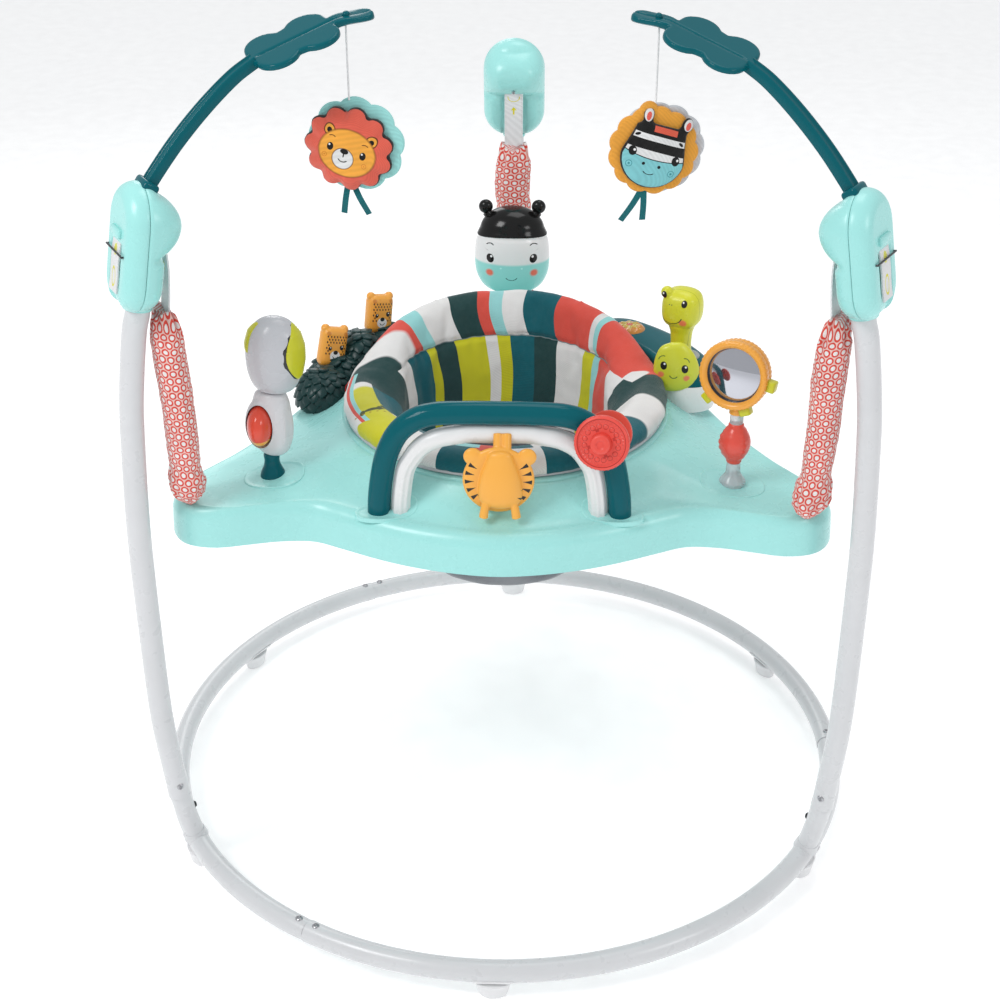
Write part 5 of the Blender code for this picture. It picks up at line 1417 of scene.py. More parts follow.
def seat_cloth():
    """The print: wide stripes down the bucket, larger rounded shapes on the rim."""
    s = SeatPrint("seat_print", 0.85, CREAM)
    s.start()
    wobble = s.times(s.minus(s.noise(12, 1), 0.5), 3.0)
    turn = s.plus(s.turn, wobble)
    low_turn = s.plus(turn, s.bulge(s.z, 0.44, 0.545, 2.2))
    lower = s.bands([(-150, SEAT_TEAL), (-135, CREAM), (-110, SEAT_TEAL), (-98, SEAT_AQUA),
                     (-92, SEAT_CORAL), (-76, SEAT_TEAL), (-60, CREAM), (-40, SEAT_TEAL), (-6, CREAM),
                     (12, SEAT_PINE), (24, CREAM), (37, SEAT_CORAL), (41, SEAT_AQUA), (48, SEAT_LIME),
                     (64.5, CREAM), (77, SEAT_PINE), (89, SEAT_TEAL), (95.4, SEAT_LIME), (101.4, CREAM),
                     (118, SEAT_LIME), (129.5, SEAT_PINE), (135, SEAT_LIME), (150, SEAT_TEAL),
                     (162, CREAM), (181, SEAT_PINE)],
                    low_turn)
    high_turn = s.plus(turn, s.bulge(s.z, 0.540, 0.610, -4.0))
    upper = s.bands([(-168, CREAM), (-128, SEAT_LIME), (-112, CREAM), (-100, SEAT_TEAL),
                     (-90, SEAT_CORAL), (-74, CREAM), (-58, SEAT_TEAL), (-40, CREAM), (-30, SEAT_TEAL),
                     (10, SEAT_PINE), (38, SEAT_CORAL), (41, SEAT_AQUA), (44, CREAM), (64, SEAT_CORAL),
                     (79, SEAT_TEAL), (89, CREAM), (94.9, SEAT_AQUA), (100.5, SEAT_CORAL),
                     (113, SEAT_PINE), (128, CREAM), (136, SEAT_AQUA), (149, SEAT_CORAL),
                     (181, SEAT_TEAL)], high_turn)
    seam = s.plus(0.5430, s.times(s.minus(s.ramp(s.y, 0.05, 0.14), 1.0), 0.006))
    inside = s.below(s.rho, 0.158)
    below = s.both(inside, s.below(s.z, seam))
    deep = s.below(s.z, 0.470)
    s.colour = s.mix(s.math("MAXIMUM", below, deep), upper, lower)
    on_roll = s.minus(1.0, s.math("MAXIMUM", below, deep))
    rim_shapes(s, on_roll)
    welt = s.span(s.minus(s.z, seam))
    back = s.above(s.y, 0.070)
    s.paint((0.20, 0.26, 0.27), s.both(back, s.both(inside, s.below(welt, 0.0006))))
    # Painted shade: the cloth below the tray, outside and deep in the bucket, is darkened to a plain grey.
    under = s.below(s.z, 0.434)
    s.colour = s.mix(under, s.node_colour(), (0.20, 0.21, 0.23))
    return woven(s, 0.0009, 0.00008, 0.05)


def rim_shapes(s, on_roll):
    """Curved shapes on the side rolls, laid out in plan, and their bound edge."""
    s.u = s.times(s.x, 1000)
    s.v = s.times(s.y, 1000)
    s.flat = s.node("ShaderNodeCombineXYZ", s.u, s.v, 0.0).outputs[0]
    left = s.both(on_roll, s.below(s.u, -60.0))
    right = s.both(on_roll, s.above(s.u, 60.0))
    for mask, colour in ((s.oval((-132, 34), (52, 58), 20), CREAM),
                         (s.oval((-141, 14), (44, 42), 14), SEAT_PINE),
                         (s.oval((-146, -22), (54, 26), -8), CREAM),
                         (s.oval((-140, -66), (62, 62), -10), SEAT_LIME),
                         (s.oval((-104, -50), (26, 26), 0), CREAM),
                         (s.oval((-96, -66), (22, 22), 0), SEAT_LIME)):
        s.paint(colour, s.both(mask, left))
    for limit, colour in ((176.0, SEAT_AQUA), (180.5, SEAT_CORAL), (184.0, CREAM)):
        edge = s.both(s.above(s.rho, limit / 1000), s.below(s.v, 26.0))
        s.paint(colour, s.both(left, s.both(edge, s.above(s.v, -96.0))))
    creature(s, left)
    for mask, colour in ((s.oval((150, -58), (58, 70), 18), SEAT_PINE),
                         (s.oval((142, -64), (50, 46), 38), CREAM),
                         (s.oval((132, 22), (40, 9), 22), CREAM),
                         (s.oval((124, 34), (42, 9), 24), SEAT_CORAL),
                         (s.oval((122, -112), (44, 30), 20), SEAT_TEAL)):
        s.paint(colour, s.both(mask, right))


def creature(s, where):
    """A small long-bodied beast of the print, with dots on its back."""
    for centre, size, lean in (((-118, -50), (20, 7.5), 28), ((-103, -40), (8, 7), 0),
                               ((-131, -58), (9, 6.5), 20),
                               ((-146, -72), (13, 3.4), 24), ((-158, -79), (3.0, 5.5), 0),
                               ((-140, -68), (3.0, 6.0), 0)):
        s.paint((0.050, 0.075, 0.010), s.both(where, s.oval(centre, size, lean)))
    for centre in ((-110, -45), (-118, -49), (-127, -54), (-102, -39)):
        s.paint((0.50, 0.47, 0.015), s.both(where, s.oval(centre, (1.7, 5.2), 24)))
    for x in range(-165, -120, 8):
        s.paint((0.36, 0.22, 0.010), s.both(where, s.oval((x, -84 + 0.25 * (x + 165)), (1.5, 1.1), 20)))


def bucket_rings():
    """Closed rings of the padded seat: up the outside, over the roll and down into the bucket."""
    rows = []

    def row(rho, z, rise=0.0, shift=0.0, lean=0.0):
        ring = []
        for i in range(160):
            a = 2 * math.pi * i / 160
            reach = rho - lean * (1 - back_rise(a))
            ring.append(Vector((reach * math.cos(a), reach * math.sin(a) + shift, z + rise * back_rise(a))))
        rows.append(ring)
    row(0.0600, 0.3085, 0, 0.024)
    row(0.0900, 0.3120, 0, 0.022)
    row(0.1150, 0.3300, 0, 0.016)
    row(0.1280, 0.3650, 0, 0.008)
    row(0.1360, 0.4050)
    row(0.1400, 0.4350)
    row(0.1440, 0.4700)
    row(0.1470, 0.5000)
    row(0.1500, 0.5190)
    row(0.1700, 0.5205)
    row(0.1840, 0.5190)
    row(0.1890, 0.5185)
    row(0.1905, 0.5230, 0.006)
    row(0.1895, 0.5295, 0.018)
    row(0.1860, 0.5355, 0.033)
    row(0.1790, 0.5395, 0.048)
    row(0.1690, 0.5400, 0.054, 0, 0.003)
    row(0.1600, 0.5370, 0.047, 0, 0.008)
    row(0.1520, 0.5310, 0.030, 0, 0.013)
    row(0.1455, 0.5235, 0.018, 0, 0.015)
    row(0.1395, 0.5120, 0.008, 0, 0.014)
    row(0.1350, 0.4900, 0, 0, 0.008)
    row(0.1300, 0.4350)
    row(0.1250, 0.4000)
    row(0.1150, 0.3650, 0, 0.008)
    row(0.1000, 0.3350, 0, 0.016)
    row(0.0800, 0.3210, 0, 0.022)
    row(0.0400, 0.3180, 0, 0.024)
    return rows


def seat(skin):
    holes = []
    for sign in (-1, 1):
        turn = math.radians(-90 + sign * 40)
        aim = Vector((math.cos(turn), math.sin(turn), -0.12)).normalized()
        middle = Vector((aim.x * 0.12, aim.y * 0.12, 0.395))
        holes.append(turned([(0, -0.05), (LEG_R, -0.05), (LEG_R, 0.09), (0, 0.09)], middle, aim, 56))
    piece = add("seat_pad", loft(bucket_rings()), "seat", skin, "seat_fabric", 80, holes)
    puffed(piece, 0.006, 0.0050, 3.0)
    relief(piece)


def relief(obj):
    """Pull the cloth in along its seams, pucker it beside them and keep it off the tray's collar."""
    for vert in obj.data.vertices:
        here = vert.co - AXIS
        rho = math.hypot(here.x, here.y)
        turn = math.atan2(here.y, here.x)
        out = Vector((math.cos(turn), math.sin(turn), 0))
        if rho < 0.165 and here.z > 0.44:
            line = 0.543 - 0.006 * ease(here.y, 0.14, 0.05)
            near = ease(here.y, 0.02, 0.08)
            pull = math.exp(-((here.z - line) / 0.0035) ** 2)
            pucker = math.exp(-((here.z - line) / 0.014) ** 2) * math.sin(turn * 64 + 3 * math.sin(turn * 5))
            vert.co += out * near * (0.0034 * pull + 0.0006 * pucker)
        drape = noise.noise(Vector((3.0 * math.cos(turn), 3.0 * math.sin(turn), here.z * 9)))
        crease = noise.noise(here * 34) + 0.5 * noise.noise(here * 70)
        if here.z > 0.522:
            vert.co += Vector((0, 0, 1)) * (0.0022 * drape + 0.0008 * crease)
        if here.z < 0.545:
            vert.co += out * (0.0018 * drape + 0.0012 * crease)
        here = vert.co - AXIS
        if math.hypot(here.x, here.y) > 0.160 and here.z < 0.5156:
            vert.co.z = 0.5156 + 0.12 * (0.5156 - here.z)


def red_tag(skin):
    """A folded sewn-in tab on the seat's left edge, left blank."""
    path = [polar(rho, 170, z) for rho,
            z in ((0.1845, 0.5300), (0.1880, 0.5285), (0.1905, 0.5255), (0.1912, 0.5215),
                  (0.1914, 0.5175))]
    section = [(0.0090, 0.0004), (-0.0090, 0.0004), (-0.0090, -0.0004), (0.0090, -0.0004)]
    add("edge_tab", sweep(smooth_path(path, 5), section, "caps", polar(1, 260)), "seat", skin,
        (), 50)


# ---- Beetle --------------------------------------------------------------------------------
BEETLE = Vector((-0.2550, -0.1340, 0.0))
ROLLER = Vector((-0.2630, -0.1440, 0.5545))


def wing(side, body_turn):
    """A ribbed crescent that wraps one side of the body."""
    rings = []
    for row in range(41):
        share = row / 40
        angle = math.radians(-68 + 136 * share)
        z = 0.5530 + 0.0370 * math.sin(angle)
        reach = 0.0245 * math.cos(angle) ** 0.7
        ring = []
        for i in [*range(25), *range(24, -1, -1)]:
            turn = math.radians(-38 + 116 * i / 24)
            rib = 0.0005 * math.cos(i / 24 * math.pi * 6)
            out = reach - 0.002 if len(ring) > 24 else reach + 0.0006 + rib
            ring.append(Vector((side * out * math.cos(turn), 0.66 * out * math.sin(turn), z)))
        rings.append(ring)
    shape = loft(rings)
    shape.transform(Matrix.Translation(BEETLE + Vector((0.0035, 0, 0))) @ Matrix.Rotation(body_turn, 4, "Z"))
    return shape


EGG = [(0, -0.0425), (0.0150, -0.0410), (0.0235, -0.0340), (0.0290, -0.0200), (0.0312, -0.0020),
       (0.0305, 0.0140), (0.0266, 0.0280), (0.0190, 0.0380), (0.0115, 0.0424), (0.0050, 0.0442),
       (0, 0.0445)]


def beetle(pale, lime, teal_skin, dark):
    base = tray_height(BEETLE.x, BEETLE.y)
    post = turned(rounded([(0, base - 0.004), (0.0130, base - 0.004), (0.0134, base + 0.0015),
                           (0.0118, base + 0.0060), (0.0092, base + 0.0120), (0.0084, base + 0.0180),
                           (0.0084, 0.5165), (0, 0.5170)],
                          3),
                  BEETLE + Vector((0.001, 0, 0)), (0, 0, 1), 48)
    add("beetle_stand", post, "tray", teal_skin, "beetle_post", 50)
    turn = math.radians(-14)
    spin = Matrix.Rotation(turn, 4, "Z")
    middle = BEETLE + Vector((0.0045, 0, 0.5535))
    body = turned(rounded([(0, -0.0385), (0.0105, -0.0375), (0.0175, -0.0310), (0.0215, -0.0200),
                           (0.0232, -0.0040), (0.0222, 0.0150), (0.0200, 0.0290), (0.0150, 0.0370),
                           (0, 0.0385)], 5),
                  (0, 0, 0), (0, 0, 1), 56, (1.0, 0.72))
    body.transform(Matrix.Translation(middle) @ spin)
    pod = ball(ROLLER + Vector((0.0015, 0.0050, 0)), (0.0350, 0.0400, 0.0600), spin, 40)
    body = fused("beetle_body", joined(body, pod), 0.0010, 5)
    add("beetle_body_shell", body, "beetle", pale, (), 60,
        [ball(ROLLER + Vector((0.0005, -0.004, 0)), (0.0300, 0.0500, 0.0520), None)])
    wings = [wing(side, turn) for side in (-1, 1)]
    add("beetle_side_ribs", joined(*wings), "beetle", pale, "beetle_body", 40)
    add("beetle_ball", ball(ROLLER + Vector((0.0005, 0, 0)), (0.0280, 0.0465, 0.0465), None, 48), "roller",
        roller_skin(),
        "roller_ball", 60)
    centre = BEETLE + Vector((0.0120, 0, 0.6335))
    lean = Vector((0.05, -0.02, 1)).normalized()
    head = turned(rounded(EGG, 6), centre, lean, 72, (1.0, 0.80))
    face = Surface("beetle_face", 0.26, GREY)
    face.plane(centre + Vector((0, 0.022, 0)), (-0.95, 0.26, 0), (0.05, -0.02, 1))
    for x in (-10.5, 10.5):
        face.eye((x, 3.0), (4.6, 5.4), (0.25, 0.4))
        face.paint((0.80, 0.22, 0.20), face.oval((x * 1.5, -8.5), (4.4, 3.8)))
        face.paint((0.10, 0.11, 0.13), face.stroke((x, 11.5), (4.0, 2.2), 1.0, 0, 5.0))
    face.paint((0.10, 0.11, 0.13), face.stroke((0, -9.5), (7.0, 6.0), 1.2, 0, -0.35))
    face.front_only(GREY, -8.0)
    moulded(face)
    add("beetle_head_egg", head, "beetle_head", face.material, "beetle_head", 60)
    add("beetle_head_wings", joined(head_wing(centre, lean, -60, 12, -0.025, 0.0385, 0.0022),
                                    head_wing(centre, lean, 166, 212, 0.006, 0.0395, 0.0020)),
        "beetle_head", lime, (), 40)
    # Painted shadow: a thin dark sheet just under the wing's edge stands for the shade beside the wing.
    add("beetle_wing_shadow_sheet", head_wing(centre, lean, -67, 10, -0.0255, 0.0388, 0.0006), "beetle_head", dark,
        (), 40)


def roller_skin():
    """The roller: coral, with an amber segment."""
    skin = Surface("roller_plastic", 0.16, (0.74, 0.075, 0.040))
    skin.plane(ROLLER, (1, 0, 0), (0, 0, 1))
    skin.paint((0.90, 0.40, 0.06), skin.below(skin.v, -12.5))
    return moulded(skin)


def egg_reach(z):
    """The egg's half width at a height."""
    for (reach, low), (farther, high) in zip(EGG, EGG[1:]):
        if low <= z <= high:
            return reach + (farther - reach) * (z - low) / (high - low)
    return EGG[-1][0]


def head_wing(centre, lean, start, end, low, high, lift):
    """A crescent laid on the egg, with fine ribs across it."""
    rings = []
    for row in range(73):
        share = row / 72
        z = low + (high - low) * share
        reach = egg_reach(z)
        rise = lift * math.sin(math.pi * share) ** 0.35
        ridge = 0.2 * lift * math.cos(share * math.pi * 48)
        span = math.sin(math.pi * min(1.0, share * 0.98 + 0.01)) ** 0.38
        ring = []
        for part, sign in ((rise, 1), (-0.0025, -1)):
            for i in range(15)[::sign]:
                turn = math.radians(end - (end - start) * span * (1 - i / 14))
                edge = ease(i, 14, 8) if part > 0 else 0
                out = reach + part + (ridge * (1 - edge) if part > 0 else 0) - 0.0004 * (i in (0, 14))
                ring.append(Vector((out * math.cos(turn), 0.80 * out * math.sin(turn), z)))
        rings.append(ring)
    shape = loft(rings)
    tilt = Vector((0, 0, 1)).rotation_difference(lean).to_matrix().to_4x4()
    shape.transform(Matrix.Translation(centre) @ tilt)
    return shape


# ---- Mirror --------------------------------------------------------------------------------
MIRROR = Vector((0.2550, -0.1380, 0.0))
MIRROR_CENTRE = Vector((0.2490, -0.1400, 0.6195))
MIRROR_FACE = Vector((-0.44, -0.90, 0.12)).normalized()


def mirror(amber_skin, lime, smoke, coral_skin, dark, glass):
    base = tray_height(MIRROR.x, MIRROR.y)
    post = turned(rounded([(0, base - 0.003), (0.0125, base - 0.003), (0.0145, base + 0.0010),
                           (0.0140, base + 0.0035), (0.0105, base + 0.0085), (0.0080, base + 0.0150),
                           (0.0072, 0.530), (0.0068, 0.577), (0, 0.578)], 4), MIRROR, (0, 0, 1), 44)
    add("mirror_stand", post, "tray", smoke, "mirror_post", 50)
    profile = [(0.0072, 0.5145)]
    for i in range(1, 24):
        share = i / 24
        bulge = 0.0176 * math.sin(math.pi * share) ** 0.60
        profile.append((max(0.0085, bulge), 0.5145 + 0.0480 * share))
    profile.append((0.0072, 0.5625))
    ridged = turned(profile + [(0.0066, 0.5625), (0.0066, 0.5145), (0.0072, 0.5145)], MIRROR, (0, 0, 1), 56)
    for vert in ridged.verts:
        away = vert.co - MIRROR
        turn = math.atan2(away.y, away.x)
        flat = math.hypot(away.x, away.y)
        if flat > 0.012:
            side = ease(abs(math.sin(turn * 1.5)), 0.9, 1.0)
            bump = 0.5 + 0.5 * math.sin(away.z * 900)
            vert.co += Vector((math.cos(turn), math.sin(turn), 0)) * (0.0014 * side * bump - 0.0006)
    add("mirror_bead_ball", ridged, "bead", coral_skin, "mirror_bead", 60)
    ring = turned(rounded([(0.0300, -0.0160), (0.0335, -0.0165), (0.0366, -0.0150), (0.0380, -0.0080),
                           (0.0385, 0.0), (0.0382, 0.0060), (0.0345, 0.0075), (0.0318, 0.0062),
                           (0.0300, 0.0040)], 4)
                  + [(0.0300, -0.0160)], MIRROR_CENTRE, MIRROR_FACE, 144)
    turn = Vector((0, 0, 1)).rotation_difference(MIRROR_FACE).to_matrix().to_4x4()
    across = MIRROR_FACE.cross(Vector((0, 0, 1))).normalized() * -1
    up = across.cross(MIRROR_FACE)
    up = up if up.z > 0 else -up
    place = Matrix((across, up, MIRROR_FACE)).transposed().to_4x4()
    for vert in ring.verts:
        away = vert.co - MIRROR_CENTRE
        flat = away - MIRROR_FACE * away.dot(MIRROR_FACE)
        angle = math.atan2(flat.dot(up), flat.dot(across))
        if flat.length > 0.0350:
            groove = math.exp(-((away.dot(MIRROR_FACE) + 0.0045) / 0.0014) ** 2)
            vert.co -= flat.normalized() * (0.0004 * (1 + math.cos(angle * 48)) + 0.0016 * groove)
    collar = turned(rounded([(0, 0.5735), (0.0080, 0.5737), (0.0086, 0.575), (0.0086, 0.580),
                             (0.0076, 0.584), (0.0076, 0.590), (0, 0.590)], 2), MIRROR, (0, 0, 1), 36)
    backing = turned([(0, -0.0150), (0.0310, -0.0150), (0.0310, -0.0040), (0, -0.0040)], MIRROR_CENTRE,
                     MIRROR_FACE, 64)
    add("mirror_ring", joined(ring, collar, backing), "mirror", amber_skin, "mirror_frame",
        45)
    bezel = turned([(0.0290, 0.0012), (0.0304, 0.0030), (0.0304, 0.0005), (0.0290, 0.0002), (0.0290, 0.0012)],
                   MIRROR_CENTRE, MIRROR_FACE, 96)
    add("mirror_bezel", bezel, "mirror", dark, (), 40)
    add("mirror_disc", turned([(0, -0.0030), (0.0296, -0.0030), (0.0296, 0.0004), (0.0290, 0.0008),
                               (0, 0.0009)],
                              MIRROR_CENTRE, MIRROR_FACE, 96), "mirror", glass, "mirror_glass", 40)
    tabs = []
    for degrees in (-8, 228, 292):
        spot = (across * math.cos(math.radians(degrees)) + up * math.sin(math.radians(degrees))) * 0.0345
        turned_place = place @ Matrix.Rotation(math.radians(degrees), 4, "Z")
        tabs.append(box(MIRROR_CENTRE + spot * 1.17 - MIRROR_FACE * 0.004, (0.0120, 0.0125, 0.0125), 0.002,
                        turned_place))
    add("mirror_tabs", joined(*tabs), "mirror", lime, (), 40)


# ---- Console, frog, turtle, flower ---------------------------------------------------------
FROG = Vector((0.2090, 0.0850, 0.0))
FLOWER = Vector((0.1510, 0.1680, 0.0))
TURTLE = Vector((0.2040, 0.0440, 0.5450))


def console_ring(rho_low, rho_high, start, end, z, corner, steps=40):
    """A rounded band between two radii, as one closed ring."""
    points = []
    outer = [(start + corner + (end - start - 2 * corner) * i / steps, rho_high) for i in range(steps + 1)]
    inner = [(end - corner - (end - start - 2 * corner) * i / steps, rho_low) for i in range(steps + 1)]
    middle = (rho_low + rho_high) / 2
    half = (rho_high - rho_low) / 2
    cap_end = [(end - corner + corner * math.cos(math.radians(t)), middle + half * math.sin(math.radians(t)))
               for t in range(80, -81, -10)]
    cap_start = [(start + corner - corner * math.cos(math.radians(t)),
                  middle + half * math.sin(math.radians(t)))
                 for t in range(-80, 81, 10)]
    for turn, rho in outer + cap_end + inner + cap_start:
        points.append(polar(rho, turn, z))
    return points


CONSOLE_START = 8.5


def console(white, teal_skin, smoke):
    def band(levels):
        return loft([console_ring(0.1925 + inset, 0.2600 - inset, CONSOLE_START + inset * 220,
                                  60 - inset * 220, z, 8.0)
                     for inset, z in levels])
    base = band([(0.0, 0.4920), (0.0, 0.4990), (-0.0006, 0.5040), (0.0, 0.5150), (0.0010, 0.5225),
                 (0.0016, 0.5238)])
    add("console_lower", base, "tray", white, "console_base", 40)
    top = band([(0.0022, 0.5238), (0.0014, 0.5250), (0.0014, 0.5330), (0.0026, 0.5390), (0.0060, 0.5426),
                (0.0100, 0.5438)])
    well = ball(FLOWER + Vector((0, 0, 0.5475)), (0.0425, 0.0425, 0.0200))
    socket = turned([(0, 0.530), (0.0120, 0.530), (0.0120, 0.560), (0, 0.560)], FROG, (0, 0, 1), 36)
    add("console_lid", top, "tray", teal_skin, "console_top", 40, [well, socket])
    pad = turned(rounded([(0, 0.0), (0.0190, 0.0), (0.0205, 0.0008), (0.0200, 0.0026), (0.0170, 0.0036),
                          (0.0128, 0.0036)], 3) + [(0.0126, 0.0)],
                 FROG + Vector((0, 0, 0.5428)), (0, 0, 1), 56, (1.15, 0.95))
    add("console_patch", pad, "tray", smoke, (), 40)


def frog():
    lime = (0.66, 0.66, 0.030)
    front = Surface("frog_plastic", 0.30, lime)
    facing = Vector((-0.42, -0.90, 0)).normalized()
    across = Vector((-facing.y, facing.x, 0))
    centre = FROG + Vector((0, 0, 0.6090))
    front.plane(centre + facing * 0.022, across, (0, 0, 1))
    for x, y in ((-17.0, 16.5), (9.0, 9.0)):
        front.eye((x, y), (3.4, 4.4), (-0.3, 0.4))
    front.paint((0.80, 0.20, 0.10), front.oval((8.0, -15.0), (4.6, 4.2), 0, 0.25))
    front.paint((0.03, 0.09, 0.03), front.stroke((-6.5, -8.5), (13.5, 9.5), 1.3, 8, -0.25))
    for x in (-9.0, -6.0):
        front.paint((0.03, 0.09, 0.03), front.oval((x, 6.0), 0.7))
    side = front.span(front.minus(front.depth, -16.0))
    front.paint((0.44, 0.48, 0.010), front.below(side, 0.5))
    front.front_only(lime, -18.0)
    moulded(front)
    head = box(centre + Vector((0, 0, -0.0030)), (0.0470, 0.0430, 0.0480), 0.0170,
               Matrix.Rotation(math.atan2(across.y, across.x), 4, "Z"))
    bmesh.ops.subdivide_edges(head, edges=head.edges, cuts=1, use_grid_fill=True, smooth=0.4)
    eyes = [ball(centre + across * x + facing * 0.012 + Vector((0, 0, z)), (0.0150, 0.0150, 0.0150))
            for x, z in ((-0.0160, 0.0175), (0.0080, 0.0100))]
    neck = turned(rounded([(0, 0.5446), (0.0118, 0.5446), (0.0128, 0.5520), (0.0125, 0.5620),
                           (0.0135, 0.5760), (0.0160, 0.5880), (0, 0.5900)], 3), FROG, (0, 0, 1), 40)
    body = fused("frog", joined(head, *eyes, neck), 0.0011, 6)
    add("frog_head", body, "frog", front.material, "frog", 70)


def turtle():
    lime = (0.62, 0.64, 0.040)
    front = Surface("turtle_plastic", 0.30, lime)
    facing = Vector((-0.15, -0.95, 0.28)).normalized()
    across = Vector((1, -0.12, 0.10)).normalized()
    up = facing.cross(across).normalized()
    up = up if up.z > 0 else -up
    centre = TURTLE + Vector((-0.0035, -0.0030, 0.0050))
    front.plane(centre + facing * 0.010, across, up)
    for x, y in ((-13, 1.5), (11.5, -4.0)):
        front.eye((x, y), (3.9, 5.0), (0.3, 0.4))
    front.paint((0.80, 0.22, 0.10), front.oval((-17.0, -9.0), (3.8, 3.4), 0, 0.25))
    front.paint((0.80, 0.22, 0.10), front.oval((13.0, -15.5), (3.8, 3.4), 0, 0.25))
    front.paint((0.05, 0.12, 0.03), front.stroke((-14.0, 9.5), (4.6, 3.6), 1.2, 205, -0.4))
    front.paint((0.05, 0.12, 0.03), front.stroke((13.0, 5.0), (4.2, 3.2), 1.2, 140, -0.4))
    front.paint((0.05, 0.12, 0.03), front.stroke((-2.0, -10.5), (4.6, 4.0), 1.2, -10, -0.3))
    front.front_only(lime, -7.0)
    moulded(front)
    shape = turned(rounded([(0, -0.0320), (0.0150, -0.0300), (0.0240, -0.0220), (0.0270, -0.0100),
                            (0.0255, 0.0040), (0.0205, 0.0170), (0.0130, 0.0265), (0, 0.0300)], 6),
                   (0, 0, 0), (0, 0, 1), 72, (1.0, 0.42))
    shape.transform(Matrix.Translation(centre) @ Matrix.Rotation(math.radians(-11), 4, "Y"))
    add("turtle_face", shape, "turtle", front.material, "turtle", 70)


def flower(name, spot):
    """A clear orange dome with a moulded flower under its top."""
    surface = Surface("flower_plastic", 0.16, (0.86, 0.34, 0.050), Transmission_Weight=0.35, Coat_Weight=0.5,
                      IOR=1.46)
    surface.plane(spot, (1, 0, 0), (0, 1, 0))
    turn = surface.math("ARCTAN2", surface.v, surface.u)
    size = surface.vector("LENGTH", surface.flat)
    petal = surface.plus(11.0, surface.times(surface.math("COSINE", surface.times(turn, 8.0)), 3.2))
    surface.paint((0.80, 0.62, 0.12), surface.below(size, petal))
    surface.paint((0.80, 0.10, 0.035), surface.below(size, 4.2))
    moulded(surface)
    shape = turned(rounded([(0, -0.0040), (0.0190, -0.0040), (0.0200, -0.0020), (0.0192, 0.0010),
                            (0.0150, 0.0042), (0.0080, 0.0058), (0, 0.0062)], 5), spot, (0, 0, 1), 72)
    for vert in shape.verts:
        away = vert.co - spot
        turn = math.atan2(away.y, away.x)
        flat = math.hypot(away.x, away.y)
        if away.z > -0.001:
            vert.co.z += 0.0010 * math.cos(turn * 8) * ease(flat, 0.019, 0.012) * ease(flat, 0.002, 0.008)
    add(name, shape, "flower_button" if name == "flower_dome" else "tray", surface.material,
        "flower_button" if name == "flower_dome" else (), 60)


# ---- Planter and cubs ----------------------------------------------------------------------
def scale_leaf(place, size):
    """One thick pointed leaf of the bushes."""
    outline = [(0.0, -0.45), (0.30, -0.36), (0.46, -0.05), (0.38, 0.28), (0.0, 0.62), (-0.38, 0.28),
               (-0.46, -0.05), (-0.30, -0.36)]
    return slab([(x * size, y * size) for x, y in outline], size * 0.20, place, size * 0.08, size * 0.06, 2)


def planter(skin):
    lumps = [ball(polar(rho, turn, 0.4980), size, Matrix.Rotation(math.radians(turn), 4, "Z"))
             for rho, turn, size in ((0.226, 166, (0.066, 0.058, 0.068)), (0.228, 156, (0.068, 0.062, 0.076)),
                                     (0.214, 147, (0.056, 0.058, 0.116)), (0.236, 144, (0.054, 0.058, 0.096)),
                                     (0.226, 134, (0.062, 0.060, 0.098)),
                                     (0.222, 126, (0.054, 0.048, 0.084)))]
    core = loft([console_ring(0.1955 + inset, 0.2590 - inset, 122 + inset * 200, 172 - inset * 200, z, 8.0)
                 for inset, z in ((0, 0.4880), (0, 0.505), (0.004, 0.512), (0.012, 0.516))])
    bush = fused("bush", joined(core, *lumps), 0.0022, 6)
    leaves = []
    bush.normal_update()
    taken = []
    for vert in sorted(bush.verts, key=lambda v: noise.cell(v.co * 5000)):
        if vert.co.z < 0.4945 or vert.normal.z < -0.25:
            continue
        if any((vert.co - other).length < 0.0076 for other in taken):
            continue
        taken.append(vert.co.copy())
        across = Vector((0, 0, 1)).cross(vert.normal)
        across = across.normalized() if across.length > 0.05 else Vector((1, 0, 0))
        down = across.cross(vert.normal)
        down = down if down.z < 0 else -down
        spread = noise.noise(vert.co * 90)
        lift = (down * 0.95 + vert.normal * 0.32 + across * 0.35 * spread).normalized()
        out = (vert.normal - lift * vert.normal.dot(lift)).normalized()
        place = Matrix((lift.cross(out), lift, out)).transposed().to_4x4()
        place.translation = vert.co + vert.normal * 0.0008
        leaves.append(scale_leaf(place, 0.0158 + 0.0030 * spread))
    add("bush", bush, "tray", skin, "planter", 50)
    add("bush_leaves", joined(*leaves), "tray", skin, (), 50)


CUB_RISE = {"front": 0.0165, "rear": 0.0160}


